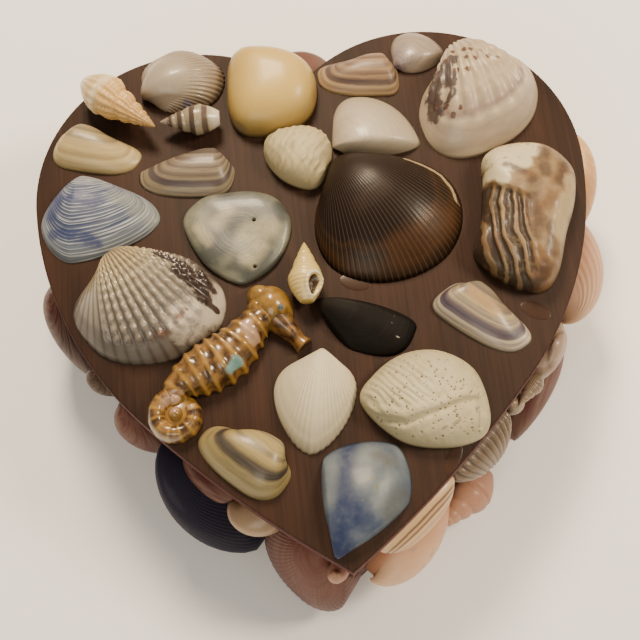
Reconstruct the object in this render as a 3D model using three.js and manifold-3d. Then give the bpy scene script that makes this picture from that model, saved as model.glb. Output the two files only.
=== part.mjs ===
// A heart-shaped wooden box with a lift-off lid. Sea shells and a glazed seahorse are set
// on the lid, and more shells stand against the wall all round. Millimetres, +Z up. The
// origin is the middle of the underside, and the tip of the heart points to -Y.
import * as THREE from 'three';
import { mergeVertices } from 'three/addons/utils/BufferGeometryUtils.js';
import ManifoldModule from 'manifold-3d';

const solidLibrary = await ManifoldModule();
solidLibrary.setup();

// Sizes of the box
const HEART_WIDTH = 160;
const BASE_THICKNESS = 4;
const WALL_HEIGHT = 34;
const WALL_THICKNESS = 5;
const LID_THICKNESS = 6.5;
const LID_OVERHANG = 1.5;
const RIM_DEPTH = 4;
const RIM_WIDTH = 5;
const RIM_CLEARANCE = 0.6;

// The gap between two pieces that touch
const GAP = 0.3;
// How far a shell on the wall reaches in past the wall's face, before the wall cuts it
const SEAT_DEPTH = 2.5;

// The shells were set out on a heart of this width, and on a wall that runs this far from
// the notch to the tip and is this high. They keep their places on any other.
const LAYOUT_WIDTH = 160;
const LAYOUT_WALL_RUN = 250;
const LAYOUT_WALL_HEIGHT = 34;
const PLAN_SCALE = HEART_WIDTH / LAYOUT_WIDTH;

// The heart is three arcs a side, each starting where the last one ended
const HALF_WIDTH = HEART_WIDTH / 2;
const LOBE_OFFSET = 0.4252 * HALF_WIDTH;
const LOBE_RADIUS = HALF_WIDTH - LOBE_OFFSET;
const LOBE_Y = 0.425 * HALF_WIDTH;
const FLANK_RADIUS = 1.268 * HALF_WIDTH;
const TAPER_RADIUS = 4.068 * HALF_WIDTH;
const FLANK_START = -1.3;
const TAPER_START = -42.7;
const ARC_STEPS = { notch: 2, lobe: 14, flank: 4, taper: 3 };

// Heights
const WALL_BOTTOM = BASE_THICKNESS + GAP;
const WALL_TOP = WALL_BOTTOM + WALL_HEIGHT;
const LID_BOTTOM = WALL_TOP + GAP;
const LID_TOP = LID_BOTTOM + LID_THICKNESS;

const box = new THREE.Group();

// Adds a named piece of one material to the box, or to a group in it
function addPiece(name, geometry, material, parent = box) {
  const mesh = new THREE.Mesh(geometry, material);
  mesh.name = name;
  parent.add(mesh);
  return mesh;
}

function finish(color, roughness, metalness = 0) {
  return new THREE.MeshStandardMaterial({ color, roughness, metalness });
}

const WOOD = finish('#66453b', 0.45);
const WOOD_INSIDE = finish('#8a6247', 0.7);
const GLAZE = finish('#a96a22', 0.15);

// Points on an arc, from one angle to another, in degrees
function arcPoints(centre, radius, from, to, steps) {
  return Array.from({ length: steps + 1 }, (_, i) => {
    const angle = THREE.MathUtils.degToRad(from + (to - from) * i / steps);
    return new THREE.Vector2(Math.cos(angle), Math.sin(angle)).multiplyScalar(radius).add(centre);
  });
}

// The right half of the heart, from the notch to the tip, moved inwards by the inset
function heartSide(inset) {
  const toDegrees = THREE.MathUtils.radToDeg;
  const lobe = new THREE.Vector2(LOBE_OFFSET, LOBE_Y);
  const notchRise = Math.sqrt(LOBE_RADIUS ** 2 - LOBE_OFFSET ** 2);
  const notch = new THREE.Vector2(0, LOBE_Y + notchRise);
  const notchAngle = toDegrees(Math.atan2(notchRise, LOBE_OFFSET));
  const alongRay = (centre, degrees, distance) => {
    const angle = THREE.MathUtils.degToRad(degrees);
    return new THREE.Vector2(Math.cos(angle), Math.sin(angle)).multiplyScalar(distance).add(centre);
  };
  const flank = alongRay(lobe, FLANK_START, LOBE_RADIUS - FLANK_RADIUS);
  const taper = alongRay(flank, TAPER_START, FLANK_RADIUS - TAPER_RADIUS);
  const tipAngle = -toDegrees(Math.acos(-taper.x / (TAPER_RADIUS - inset)));
  const stretches = [
    arcPoints(notch, inset, -90, -notchAngle, ARC_STEPS.notch),
    arcPoints(lobe, LOBE_RADIUS - inset, 180 - notchAngle, FLANK_START, ARC_STEPS.lobe),
    arcPoints(flank, FLANK_RADIUS - inset, FLANK_START, TAPER_START, ARC_STEPS.flank),
    arcPoints(taper, TAPER_RADIUS - inset, TAPER_START, tipAngle, ARC_STEPS.taper),
  ];
  // Each stretch starts on the last point of the one before
  return stretches.flatMap((points, i) => {
    if (i > 0) return points.slice(1);
    return inset > 0 ? points : points.slice(-1);
  });
}

// The whole heart, counter-clockwise
function heartOutline(inset) {
  const right = heartSide(inset);
  const left = right.slice(1, -1).map((p) => new THREE.Vector2(-p.x, p.y));
  return [...right.reverse(), ...left];
}

// A heart-shaped board, or a frame where an inner inset is given
function heartBoard(bottom, top, inset, innerInset = null) {
  const shape = new THREE.Shape(heartOutline(inset));
  if (innerInset !== null) shape.holes.push(new THREE.Path(heartOutline(innerInset)));
  const board = new THREE.ExtrudeGeometry(shape, { depth: top - bottom, bevelEnabled: false, steps: 1 });
  return board.translate(0, 0, bottom);
}

// A closed skin over rings of points, with a fan at each end
function skin(rings, startPoint, endPoint) {
  const count = rings[0].length;
  const points = [startPoint, endPoint, ...rings.flat()];
  const corner = (ring, i) => 2 + ring * count + (i % count);
  const triangles = [];
  for (let i = 0; i < count; i++) {
    triangles.push(0, corner(0, i), corner(0, i + 1));
    triangles.push(1, corner(rings.length - 1, i + 1), corner(rings.length - 1, i));
    for (let ring = 0; ring + 1 < rings.length; ring++) {
      const [a, b] = [corner(ring, i), corner(ring, i + 1)];
      const [c, d] = [corner(ring + 1, i), corner(ring + 1, i + 1)];
      triangles.push(a, c, b, b, c, d);
    }
  }
  if (signedVolume(points, triangles) < 0) triangles.reverse();
  const geometry = new THREE.BufferGeometry().setFromPoints(points);
  geometry.setIndex(triangles);
  return geometry;
}

function signedVolume(points, triangles) {
  let volume = 0;
  for (let i = 0; i < triangles.length; i += 3) {
    const [a, b, c] = [points[triangles[i]], points[triangles[i + 1]], points[triangles[i + 2]]];
    volume += a.dot(b.clone().cross(c)) / 6;
  }
  return volume;
}

function middle(points) {
  const sum = points.reduce((total, p) => total.add(p), new THREE.Vector3());
  return sum.divideScalar(points.length);
}

// A geometry as a solid that can be joined and cut
function toSolid(geometry) {
  const bare = new THREE.BufferGeometry();
  bare.setAttribute('position', geometry.attributes.position);
  bare.setIndex(geometry.index);
  const merged = mergeVertices(bare, 1e-4);
  return new solidLibrary.Manifold(new solidLibrary.Mesh({
    numProp: 3,
    vertProperties: new Float32Array(merged.attributes.position.array),
    triVerts: new Uint32Array(merged.index.array),
  }));
}

function toGeometry(solid) {
  const mesh = solid.getMesh();
  const geometry = new THREE.BufferGeometry();
  geometry.setAttribute('position', new THREE.BufferAttribute(mesh.vertProperties, 3));
  geometry.setIndex(new THREE.BufferAttribute(mesh.triVerts, 1));
  return geometry;
}

// The wooden box: a base, a hollow wall standing on it, a lid, and the lid's inner frame,
// which drops inside the wall and keeps the lid in its place
function makeBox() {
  const inside = LID_OVERHANG + WALL_THICKNESS;
  addPiece('base_board', heartBoard(0, BASE_THICKNESS, LID_OVERHANG), WOOD);
  addPiece('wall', heartBoard(WALL_BOTTOM, WALL_TOP, LID_OVERHANG, inside), WOOD);
  addPiece('lid_board', heartBoard(LID_BOTTOM, LID_TOP, 0), WOOD);
  const rim = inside + RIM_CLEARANCE;
  const frame = heartBoard(LID_BOTTOM - GAP - RIM_DEPTH, LID_BOTTOM - GAP, rim, rim + RIM_WIDTH);
  addPiece('lid_frame', frame, WOOD_INSIDE);
}

// The margin of a valve, seen from above: the umbo at the origin, the belly towards -Y,
// made of four quarters of a superellipse. Shoulder and belly are their roundness: 2 is an
// ellipse, less is straighter and more is squarer. Skew slides the belly to one side.
function valveMargin(shell, count) {
  const { left, right, height, widest = 0.55, shoulder = 1.8, belly = 2.1, skew = 0 } = shell;
  const at = (turn) => {
    const [across, up] = [Math.sin(turn), Math.cos(turn)];
    const power = 2 / (up >= 0 ? shoulder : belly);
    const halfWidth = across >= 0 ? right : left;
    const rise = up >= 0 ? widest * height : (1 - widest) * height;
    const x = Math.sign(across) * halfWidth * Math.abs(across) ** power;
    const y = Math.sign(up) * rise * Math.abs(up) ** power - widest * height;
    return new THREE.Vector2(x - skew * y, y);
  };
  const fine = Array.from({ length: 721 }, (_, i) => at(i * Math.PI / 360));
  return evenly(fine, count);
}

// Points at equal steps along a closed line whose last point is its first
function evenly(line, count) {
  const travelled = [0];
  for (let i = 1; i < line.length; i++) travelled.push(travelled[i - 1] + line[i].distanceTo(line[i - 1]));
  const total = travelled[travelled.length - 1];
  let from = 0;
  return Array.from({ length: count }, (_, i) => {
    const wanted = total * i / count;
    while (travelled[from + 1] < wanted) from++;
    const share = (wanted - travelled[from]) / (travelled[from + 1] - travelled[from]);
    return line[from].clone().lerp(line[from + 1], share);
  });
}

// A valve grows as a spiral: each older margin is the last one shrunk towards the umbo and
// turned about the hinge. The tightness of the spiral sets how high the valve rises.
const GROWTH_POWER = 1.25;
const HINGE_SHARE = 0.05;
const OLDEST_SHARE = 0.04;

function shrink(tightness, turn) {
  return Math.exp(-tightness * turn ** GROWTH_POWER);
}

function tightnessFor(riseShare) {
  let [low, high] = [0.05, 20];
  for (let step = 0; step < 40; step++) {
    const tightness = (low + high) / 2;
    let best = 0;
    for (let turn = 0.02; turn < Math.PI / 2; turn += 0.02) {
      best = Math.max(best, shrink(tightness, turn) * Math.sin(turn));
    }
    if (best > riseShare) low = tightness;
    else high = tightness;
  }
  return (low + high) / 2;
}

// The rings of a valve from its margin up to the umbo, with its radial ribs
function valveRings(shell, count, ringCount) {
  const { height, rise, ribs = 0, ribDepth = 0 } = shell;
  const hinge = HINGE_SHARE * height;
  const tightness = tightnessFor(rise / (height + hinge));
  const lastTurn = Math.min(2.4, (-Math.log(OLDEST_SHARE) / tightness) ** (1 / GROWTH_POWER));
  const margin = valveMargin(shell, count);
  const rings = Array.from({ length: ringCount + 1 }, (_, ring) => {
    const turn = lastTurn * ring / ringCount;
    const scale = shrink(tightness, turn);
    return margin.map((p) => {
      const reach = scale * (hinge - p.y);
      return new THREE.Vector3(scale * p.x, hinge - reach * Math.cos(turn), reach * Math.sin(turn));
    });
  });
  if (!ribs) return rings;
  return rings.map((points, ring) => points.map((p, i) => {
    const before = points[(i + count - 1) % count];
    const after = points[(i + 1) % count];
    const older = rings[Math.min(ring + 1, ringCount)][i];
    const younger = rings[Math.max(ring - 1, 0)][i];
    const normal = after.clone().sub(before).cross(older.clone().sub(younger)).normalize();
    if (normal.z < 0) normal.negate();
    const share = i / count;
    const fade = Math.min(1, 6 * Math.min(share, 1 - share));
    const growth = 1 - ring / (ringCount + 1);
    const lift = ribDepth * fade * growth * Math.cos(2 * Math.PI * ribs * share);
    const moved = p.clone().addScaledVector(normal, lift);
    moved.z = ring === 0 ? 0 : Math.max(moved.z, 0.1);
    return moved;
  }));
}

// A valve lying on its margin
function lyingValve(shell) {
  const count = shell.ribs ? 2 * shell.ribs : shell.sides ?? 16;
  const rings = valveRings(shell, count, shell.rings ?? 4);
  return skin(rings, middle(rings[0]), middle(rings[rings.length - 1]));
}

// A valve leaning on the wall, in the wall's own frame: its foot stands out further than its
// top, and its margin reaches straight back into the wall
function leaningValve(shell) {
  const { height, turn = 0, lean = 0, out = 0, ribs = 0, sides = 10, rings = 3 } = shell;
  const place = new THREE.Matrix4().makeTranslation(0, 0, out)
    .multiply(new THREE.Matrix4().makeRotationX(-THREE.MathUtils.degToRad(lean)))
    .multiply(new THREE.Matrix4().makeRotationZ(THREE.MathUtils.degToRad(turn)))
    .multiply(new THREE.Matrix4().makeTranslation(0, height / 2, 0));
  const layers = valveRings(shell, ribs ? 2 * ribs : sides, rings);
  layers.forEach((ring) => ring.forEach((p) => p.applyMatrix4(place)));
  layers.unshift(layers[0].map((p) => new THREE.Vector3(p.x, p.y, Math.min(0, p.z) - SEAT_DEPTH)));
  return skin(layers, middle(layers[0]), middle(layers[layers.length - 1]));
}

// A worn shell or a piece of one: a closed outline that rises to a crown
const PEBBLE_RINGS = [1, 0.96, 0.82, 0.5];

function pebble({ outline, rise, sides = 22, flatness = 2.4, steps = PEBBLE_RINGS }) {
  const curve = new THREE.CatmullRomCurve3(outline.map(([x, y]) => new THREE.Vector3(x, y, 0)), true);
  const edge = curve.getSpacedPoints(sides).slice(0, sides);
  const crown = middle(edge);
  const rings = steps.map((share) => edge.map((p) => {
    const point = crown.clone().lerp(p, share);
    point.z = rise * (1 - share ** flatness) ** (1 / flatness);
    return point;
  }));
  const top = new THREE.Vector3(crown.x, crown.y, rise);
  return skin(rings, middle(rings[0]), top);
}

// A coiled snail shell lying on its side: its apex at the origin, its mouth towards -Y.
// The suture is a line that winds round the spire, each whorl larger than the last.
function whelk(shell) {
  const { length, width, sides = 10, rings = 13 } = shell;
  const { body = 0.62, canal = 0.25, whorl = 1.5, suture = 0.14 } = shell;
  const radius = width / 2;
  const outline = (share) => {
    if (share < body) return radius * (share / body) ** 0.85;
    const past = (share - body) / (1 - body);
    return radius * (canal + (1 - canal) * Math.cos(past * Math.PI / 2) ** 0.9);
  };
  const loops = Array.from({ length: rings }, (_, ring) => {
    const share = 0.04 + 0.93 * ring / (rings - 1);
    return Array.from({ length: sides }, (_, i) => {
      const angle = 2 * Math.PI * i / sides;
      const phase = Math.log(share / body) / Math.log(whorl) - i / sides;
      const dent = share < body ? suture * (1 - Math.abs(Math.sin(Math.PI * phase))) : 0;
      const distance = outline(share) * (1 - dent);
      const across = distance * Math.cos(angle);
      return new THREE.Vector3(across, -share * length, radius + distance * Math.sin(angle));
    });
  });
  const ends = [0, -length].map((y) => new THREE.Vector3(0, y, radius));
  return skin(loops, ...ends);
}

// The pieces on the lid. At is the umbo, the apex or a shift, and turn is degrees
// counter-clockwise from an umbo that points to +Y.
const LID_VALVES = [
  { name: 'lid_white_cockle', color: '#cfc6bd', at: [-45.3, 66.5], turn: 115, left: 9.8, right: 11.8,
    height: 23, rise: 8.6, widest: 0.62, shoulder: 3, belly: 1.7, skew: -0.17, ribs: 14, ribDepth: 0.35 },
  { name: 'lid_cream_clam', color: '#d9c188', at: [2.5, 62.4], turn: -94, left: 13.2, right: 16.6,
    height: 25.1, rise: 11, widest: 0.67, shoulder: 2.3, belly: 2.9, skew: -0.07, sides: 20 },
  { name: 'lid_brown_wedge', color: '#a08c74', at: [24.8, 70.7], turn: -5, left: 19.4, right: 5.1,
    height: 12.7, rise: 5, widest: 0.46, shoulder: 3, belly: 2.8, skew: 0.12 },
  { name: 'lid_violet_clam', color: '#bdb2ae', at: [30.1, 67.5], turn: 114, left: 4.6, right: 10.2,
    height: 15.2, rise: 4.5, widest: 0.46, shoulder: 2, belly: 2.1, skew: -0.11 },
  { name: 'lid_knobbed_cockle', color: '#cbb8ac', at: [50.4, 68], turn: 17, left: 18.1, right: 19.6,
    height: 31.3, rise: 13, widest: 0.48, shoulder: 2.1, belly: 2.4, skew: -0.21, ribs: 16,
    ribDepth: 0.7 },
  { name: 'lid_yellow_wedge', color: '#cdbd8c', at: [-64.8, 56.3], turn: -21, left: 6.5, right: 19.5,
    height: 12.9, rise: 5.5, widest: 0.38, shoulder: 2.8, belly: 2.6, skew: -0.11 },
  { name: 'lid_grey_wedge', color: '#8f8478', at: [-27.6, 44.6], turn: -5, left: 21.1, right: 7.1,
    height: 14.3, rise: 5, widest: 0.4, shoulder: 1.3, belly: 2.9, skew: -0.07 },
  { name: 'lid_blue_clam', color: '#7f88a0', at: [-65.6, 39.2], turn: -5, left: 10.6, right: 24,
    height: 25.2, rise: 7.5, widest: 0.5, shoulder: 1.8, belly: 1.6, skew: -0.09, sides: 20 },
  { name: 'lid_oval_clam', color: '#cfccc4', at: [9.2, 42.5], turn: 101, left: 4.5, right: 17,
    height: 23.9, rise: 6.5, widest: 0.43, shoulder: 3, belly: 2.5, skew: -0.23 },
  { name: 'lid_brown_clam', color: '#4a2f22', at: [9.3, 35.1], turn: 34, left: 23.4, right: 20.2,
    height: 40.8, rise: 12, widest: 0.53, shoulder: 1.8, belly: 1.9, skew: 0.06, sides: 26, rings: 5 },
  { name: 'lid_beaded_cockle', color: '#cbbfa8', at: [-57.1, 11.6], turn: 26, left: 21, right: 17.9,
    height: 33.7, rise: 13, widest: 0.54, shoulder: 2.9, belly: 1.9, skew: 0.22, ribs: 17,
    ribDepth: 0.7 },
  { name: 'lid_mussel', color: '#23211f', at: [-0.6, -5.8], turn: 64, left: 10.6, right: 4, height: 27.5,
    rise: 6.5, widest: 0.47, shoulder: 1.4, belly: 3, skew: 0.04 },
  { name: 'lid_violet_wedge', color: '#b3aaa4', at: [44.1, -6.9], turn: -44, left: 6.6, right: 20.8,
    height: 13.5, rise: 5.5, widest: 0.45, shoulder: 3, belly: 2.8, skew: -0.26 },
  { name: 'lid_chalk_cockle', color: '#dcdad3', at: [-1.9, -22.1], turn: -11, left: 12.1, right: 10.3,
    height: 26.8, rise: 9, widest: 0.37, shoulder: 2.2, belly: 1.6, skew: -0.03, ribs: 12,
    ribDepth: 0.3 },
  { name: 'lid_banded_wedge', color: '#b7a87c', at: [-17.7, -46.3], turn: -40, left: 18.1, right: 8.6,
    height: 13.4, rise: 7.5, widest: 0.54, shoulder: 3, belly: 2.3, skew: -0.06 },
  { name: 'lid_blue_piece', color: '#8b98b0', at: [-3, -74.6], turn: 146, left: 10, right: 15.4,
    height: 32.2, rise: 6.5, widest: 0.62, shoulder: 1.3, belly: 1.5, sides: 20 },
];

const LID_PEBBLES = [
  { name: 'lid_rough_shell', color: '#cfccc0', rise: 8.5, sides: 20,
    outline: [[-12.4, 40.6], [-11.2, 46.6], [-4.5, 49.1], [3.4, 48], [7.4, 41.6], [4.2, 32], [-0.6, 29.4],
      [-8, 33.4]] },
  { name: 'lid_banded_oyster', color: '#b09a80', rise: 11, sides: 24, flatness: 3,
    outline: [[50.6, 32.6], [58, 35.6], [68.5, 34], [75.2, 26], [74.2, 16], [70, 6], [65.6, -5.5], [60, -10],
      [51, -6], [43.6, 2.5], [47, 13], [49.2, 24]] },
  { name: 'lid_grey_disc', color: '#9c9f98', rise: 3.6, sides: 20, flatness: 3,
    outline: [[-37.4, 22.8], [-32, 29.7], [-24, 30.8], [-15.6, 30.2], [-9.2, 26.4], [-6.6, 18], [-11.6, 7.6],
      [-20, 2.2], [-25, 3.2], [-32.8, 10]] },
  { name: 'lid_pitted_shell', color: '#c9c6b8', rise: 9, sides: 24, flatness: 2.6,
    outline: [[6.8, -35.6], [11.5, -28.2], [20, -23.6], [30, -24], [38.5, -30.5], [40.8, -42], [38, -48.4],
      [28.5, -50.4], [16, -47]] },
];

const LID_WHELKS = [
  { name: 'lid_tan_whelk', color: '#c39866', at: [-43, 51.8], turn: -131, length: 27, width: 12.4,
    whorl: 1.5, body: 0.66, canal: 0.3 },
  { name: 'lid_striped_whelk', color: '#8b8176', at: [-42, 54.4], turn: 88, length: 18, width: 9.2,
    whorl: 1.6, body: 0.6, canal: 0.4, sides: 8, rings: 10 },
  { name: 'lid_yellow_whelk', color: '#d3c07f', at: [-3.6, 11], turn: -3, length: 18, width: 10,
    whorl: 1.8, body: 0.6, canal: 0.35, sides: 8, rings: 10 },
];

// Puts pieces on the lid, at their places on the plan
const lidTop = new THREE.Group();
lidTop.position.z = LID_TOP + GAP;
lidTop.scale.setScalar(PLAN_SCALE);
box.add(lidTop);

function setOnLid(piece, geometry, roughness) {
  const mesh = addPiece(piece.name, geometry, finish(piece.color, roughness), lidTop);
  const [x, y] = piece.at ?? [0, 0];
  mesh.position.set(x, y, 0);
  mesh.rotation.z = THREE.MathUtils.degToRad(piece.turn ?? 0);
}

// The seahorse is a flat-backed casting: a ringed body swept along a line, whose tail
// winds into a coil, with a head, a snout and a crest. Each step is [x, y, half width, height].
const SEAHORSE_BODY = [
  [-16.2, -8.6, 3.6, 7], [-19.4, -10.6, 4.2, 7.4], [-22.8, -14, 5.3, 8], [-26.4, -17.6, 6.3, 8.6],
  [-30.8, -20.4, 6.7, 8.8], [-35.6, -22.6, 6.1, 8.4], [-40.4, -25.2, 4.5, 7.2],
];
const SEAHORSE_COIL = {
  centre: [-42.4, -34], radius: 5.4, end: 4.6, from: 105, to: 385, halfWidth: 2.9, height: 6,
};
const SEAHORSE_SNOUT = [
  [-12.4, -10.6, 3.4, 6.4], [-9.8, -13.8, 2.2, 5.2], [-7.9, -16.4, 1.6, 4.6], [-6.5, -18.2, 2.2, 4.8],
];
const RING_RELIEF = 0.09;

// A sweep with a flat back, along steps of [x, y, half width, height]
function flatSweep(steps, sides, rounds = 1, relief = 0) {
  const curve = new THREE.CatmullRomCurve3(steps.map(([x, y]) => new THREE.Vector3(x, y, 0)));
  const count = (steps.length - 1) * rounds;
  const rings = Array.from({ length: count + 1 }, (_, i) => {
    const at = i / rounds;
    const from = Math.min(Math.floor(at), steps.length - 2);
    const mix = (key) => THREE.MathUtils.lerp(steps[from][key], steps[from + 1][key], at - from);
    const centre = curve.getPoint(i / count);
    const along = curve.getTangent(i / count);
    const across = new THREE.Vector3(-along.y, along.x, 0);
    const swell = 1 - (i % 2) * relief;
    return Array.from({ length: sides + 1 }, (_, k) => {
      const angle = Math.PI * k / sides;
      const point = centre.clone().addScaledVector(across, mix(2) * swell * Math.cos(angle));
      point.z = mix(3) * swell * Math.sin(angle) ** 0.8;
      return point;
    });
  });
  return skin(rings, middle(rings[0]), middle(rings[count]));
}

function coilSteps({ centre, radius, end, from, to, halfWidth, height }) {
  const count = 9;
  return Array.from({ length: count }, (_, i) => {
    const share = i / (count - 1);
    const angle = THREE.MathUtils.degToRad(from + (to - from) * share);
    const distance = THREE.MathUtils.lerp(radius, end, share);
    const taper = 1 - 0.25 * share;
    return [centre[0] + distance * Math.cos(angle), centre[1] + distance * Math.sin(angle),
      halfWidth * taper, height * taper];
  });
}

// A low round boss with a flat back
const BOSS_RINGS = [1, 0.88, 0.5];

function boss(x, y, across, along, turn, rise, sides) {
  const outline = Array.from({ length: 8 }, (_, i) => {
    const point = new THREE.Vector2(across * Math.cos(i * Math.PI / 4), along * Math.sin(i * Math.PI / 4));
    point.rotateAround(new THREE.Vector2(), THREE.MathUtils.degToRad(turn));
    return [x + point.x, y + point.y];
  });
  return pebble({ outline, rise, sides, flatness: 2, steps: BOSS_RINGS });
}

function makeSeahorse() {
  const body = flatSweep([...SEAHORSE_BODY, ...coilSteps(SEAHORSE_COIL).slice(0, 1)], 5, 2, RING_RELIEF);
  const tail = flatSweep(coilSteps(SEAHORSE_COIL), 5, 1, RING_RELIEF);
  const heart = boss(...SEAHORSE_COIL.centre, 3.4, 3.4, 0, 5.2, 8);
  const head = boss(-14.2, -6.4, 5.2, 6, 20, 8.2, 12);
  const snout = flatSweep(SEAHORSE_SNOUT, 5, 2);
  const crest = boss(-16.6, -1.6, 3.4, 2.4, -35, 5.4, 7);
  const parts = [tail, heart, head, snout, crest].map(toSolid);
  const whole = parts.reduce((joined, part) => joined.add(part), toSolid(body));
  addPiece('lid_seahorse', toGeometry(whole), GLAZE, lidTop);
}

// The pieces on the wall. Side is 1 on the right and -1 on the left, along is the distance
// from the notch along the wall to the middle of the piece, and up is how high its middle
// is, as a share of the wall's height. Turn is counter-clockwise as seen from outside.
const WALL_VALVES = [
  { name: 'side_back_cockle', color: '#b58e80', side: 1, along: 31, up: 0.441, turn: -8, left: 11.4,
    right: 11.4, height: 28, rise: 6.5, ribs: 6, ribDepth: 0.4 },
  { name: 'side_back_clam', color: '#b99a84', side: 1, along: 55.5, up: 0.441, turn: 30, left: 10.5,
    right: 10, height: 25, rise: 6.5 },
  { name: 'side_lobe_cockle', color: '#c3a091', side: 1, along: 80, up: 0.471, turn: 172, left: 11,
    right: 11, height: 28, rise: 6.5, ribs: 6, ribDepth: 0.4 },
  { name: 'side_orange_clam', color: '#cf9d76', side: 1, along: 104.8, up: 0.47, turn: -31, left: 13.5,
    right: 13.7, height: 27.7, rise: 9.4, out: 1.3, lean: 4, skew: -0.24 },
  { name: 'side_pink_cockle', color: '#c49a90', side: 1, along: 133.3, up: 0.41, turn: 114, left: 14,
    right: 14, height: 29.8, rise: 11.7, out: 0.2, lean: 5, ribs: 9, ribDepth: 0.5, skew: 0.36 },
  { name: 'side_striped_clam', color: '#b59a88', side: 1, along: 164.9, up: 0.73, turn: 4, left: 10.9,
    right: 9.9, height: 11.9, rise: 5, out: 1.4, skew: -0.17 },
  { name: 'side_red_clam', color: '#8d4a42', side: 1, along: 165.2, up: 0.26, turn: 205, left: 17.1,
    right: 19.4, height: 22, rise: 4.4, out: 4, lean: 8, skew: 0.32 },
  { name: 'side_grey_clam', color: '#8d8580', side: 1, along: 184.2, up: 0.71, turn: 20, left: 4.6,
    right: 4.6, height: 10, rise: 4.5 },
  { name: 'side_fan_cockle', color: '#b19d8b', side: 1, along: 200.4, up: 0.75, turn: 179, left: 11.8,
    right: 12.4, height: 12.6, rise: 5.8, out: 1.6, ribs: 8, ribDepth: 0.5 },
  { name: 'side_tan_wedge', color: '#c7a784', side: 1, along: 228.2, up: 0.85, turn: 181, left: 15.4,
    right: 12.9, height: 8.4, rise: 5.1, shoulder: 1.6, out: 1.2 },
  { name: 'side_smooth_clam', color: '#c89e90', side: 1, along: 231.2, up: 0.255, turn: 74, left: 11.5,
    right: 11.4, height: 29, rise: 8.8, out: 3.2, lean: 6, skew: 0.26 },
  { name: 'side_tip_cockle', color: '#c6978a', side: -1, along: 246.6, up: 0.853, turn: 0, left: 2.8,
    right: 2.8, height: 6, rise: 3.4, out: 2 },
  { name: 'side_tip_scallop', color: '#a3665e', side: -1, along: 234.6, up: 0.47, turn: -17, left: 17,
    right: 12.3, height: 32.2, rise: 6.7, out: 3.5, lean: 22, ribs: 10, ribDepth: 0.4, skew: 0.33 },
  { name: 'side_round_shell', color: '#a8796a', side: -1, along: 221.2, up: 0.835, turn: 90, left: 5,
    right: 5, height: 13, rise: 7, widest: 0.5 },
  { name: 'side_dark_mussel', color: '#2e2a38', side: -1, along: 206, up: 0.385, turn: 55, left: 8.2,
    right: 8.6, height: 42.1, rise: 13, out: 2.1, lean: 18, belly: 2.4, skew: -0.11, sides: 12 },
  { name: 'side_red_wedge', color: '#8a4a44', side: -1, along: 203.6, up: 0.86, turn: 192, left: 9.1,
    right: 12.2, height: 7.8, rise: 5, shoulder: 1.6, out: -0.5, skew: -0.34 },
  { name: 'side_rose_clam', color: '#9a6a66', side: -1, along: 175.3, up: 0.5, turn: 14, left: 8.4,
    right: 9.9, height: 26.1, rise: 6.7, out: 0.4 },
  { name: 'side_brown_clam', color: '#5a3f34', side: -1, along: 159.8, up: 0.72, turn: 4, left: 5.8,
    right: 5.8, height: 14, rise: 5.2 },
  { name: 'side_dark_red_clam', color: '#702c32', side: -1, along: 136.4, up: 0.46, turn: 14, left: 16,
    right: 17.9, height: 30.6, rise: 7.2, out: 1.4 },
  { name: 'side_flank_cockle', color: '#a98378', side: -1, along: 108.3, up: 0.459, turn: 176, left: 11.2,
    right: 11.2, height: 28, rise: 7, ribs: 6, ribDepth: 0.4 },
  { name: 'side_flank_clam', color: '#b3948a', side: -1, along: 85.4, up: 0.459, turn: -14, left: 11,
    right: 11, height: 27, rise: 7 },
  { name: 'side_rear_cockle', color: '#b08a7c', side: -1, along: 62.3, up: 0.459, turn: 10, left: 11,
    right: 11, height: 28, rise: 6.5, ribs: 6, ribDepth: 0.4 },
  { name: 'side_rear_clam', color: '#ad8577', side: -1, along: 40.6, up: 0.459, turn: 168, left: 10.6,
    right: 10.6, height: 27, rise: 6.5 },
  { name: 'side_notch_clam', color: '#a9776c', side: -1, along: 0, up: 0.512, turn: 170, left: 9.4,
    right: 12.4, height: 32, rise: 11.5, out: 14, lean: -16 },
];

const WALL_WHELKS = [
  { name: 'side_spotted_whelk', color: '#a08c7a', side: 1, along: 180, up: 0.865, turn: 84,
    length: 12, width: 5.6 },
  { name: 'side_pink_whelk', color: '#c79a8c', side: 1, along: 211.4, up: 0.194, turn: 72,
    length: 26, width: 12.6 },
];

// A frame on the wall: X along the wall to the right as seen from outside, Y up, Z outwards
const wallLine = new THREE.CurvePath();
heartSide(LID_OVERHANG).forEach((p, i, line) => {
  if (i > 0) wallLine.add(new THREE.LineCurve(line[i - 1], p));
});
const RUN_SCALE = wallLine.getLength() / LAYOUT_WALL_RUN;
const WALL_SCALE = Math.min(RUN_SCALE, WALL_HEIGHT / LAYOUT_WALL_HEIGHT);

function wallFrame({ side, along, up }) {
  const share = along / LAYOUT_WALL_RUN;
  const nearby = 1e-3;
  const spot = wallLine.getPoint(share);
  const before = wallLine.getPoint(Math.max(0, share - nearby));
  const step = wallLine.getPoint(Math.min(1, share + nearby)).sub(before);
  const outwards = new THREE.Vector3(-step.y * side, step.x, 0).normalize();
  const upwards = new THREE.Vector3(0, 0, 1);
  const across = upwards.clone().cross(outwards);
  const frame = new THREE.Matrix4().makeBasis(across, upwards, outwards);
  frame.setPosition(spot.x * side, spot.y, WALL_BOTTOM + up * WALL_HEIGHT);
  return frame.multiply(new THREE.Matrix4().makeScale(WALL_SCALE, WALL_SCALE, WALL_SCALE));
}

// The wall's own space and a gap round it, which the shells on it are cut back from
const wallSpace = toSolid(heartBoard(-LID_TOP, 2 * LID_TOP, LID_OVERHANG - GAP));

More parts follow.
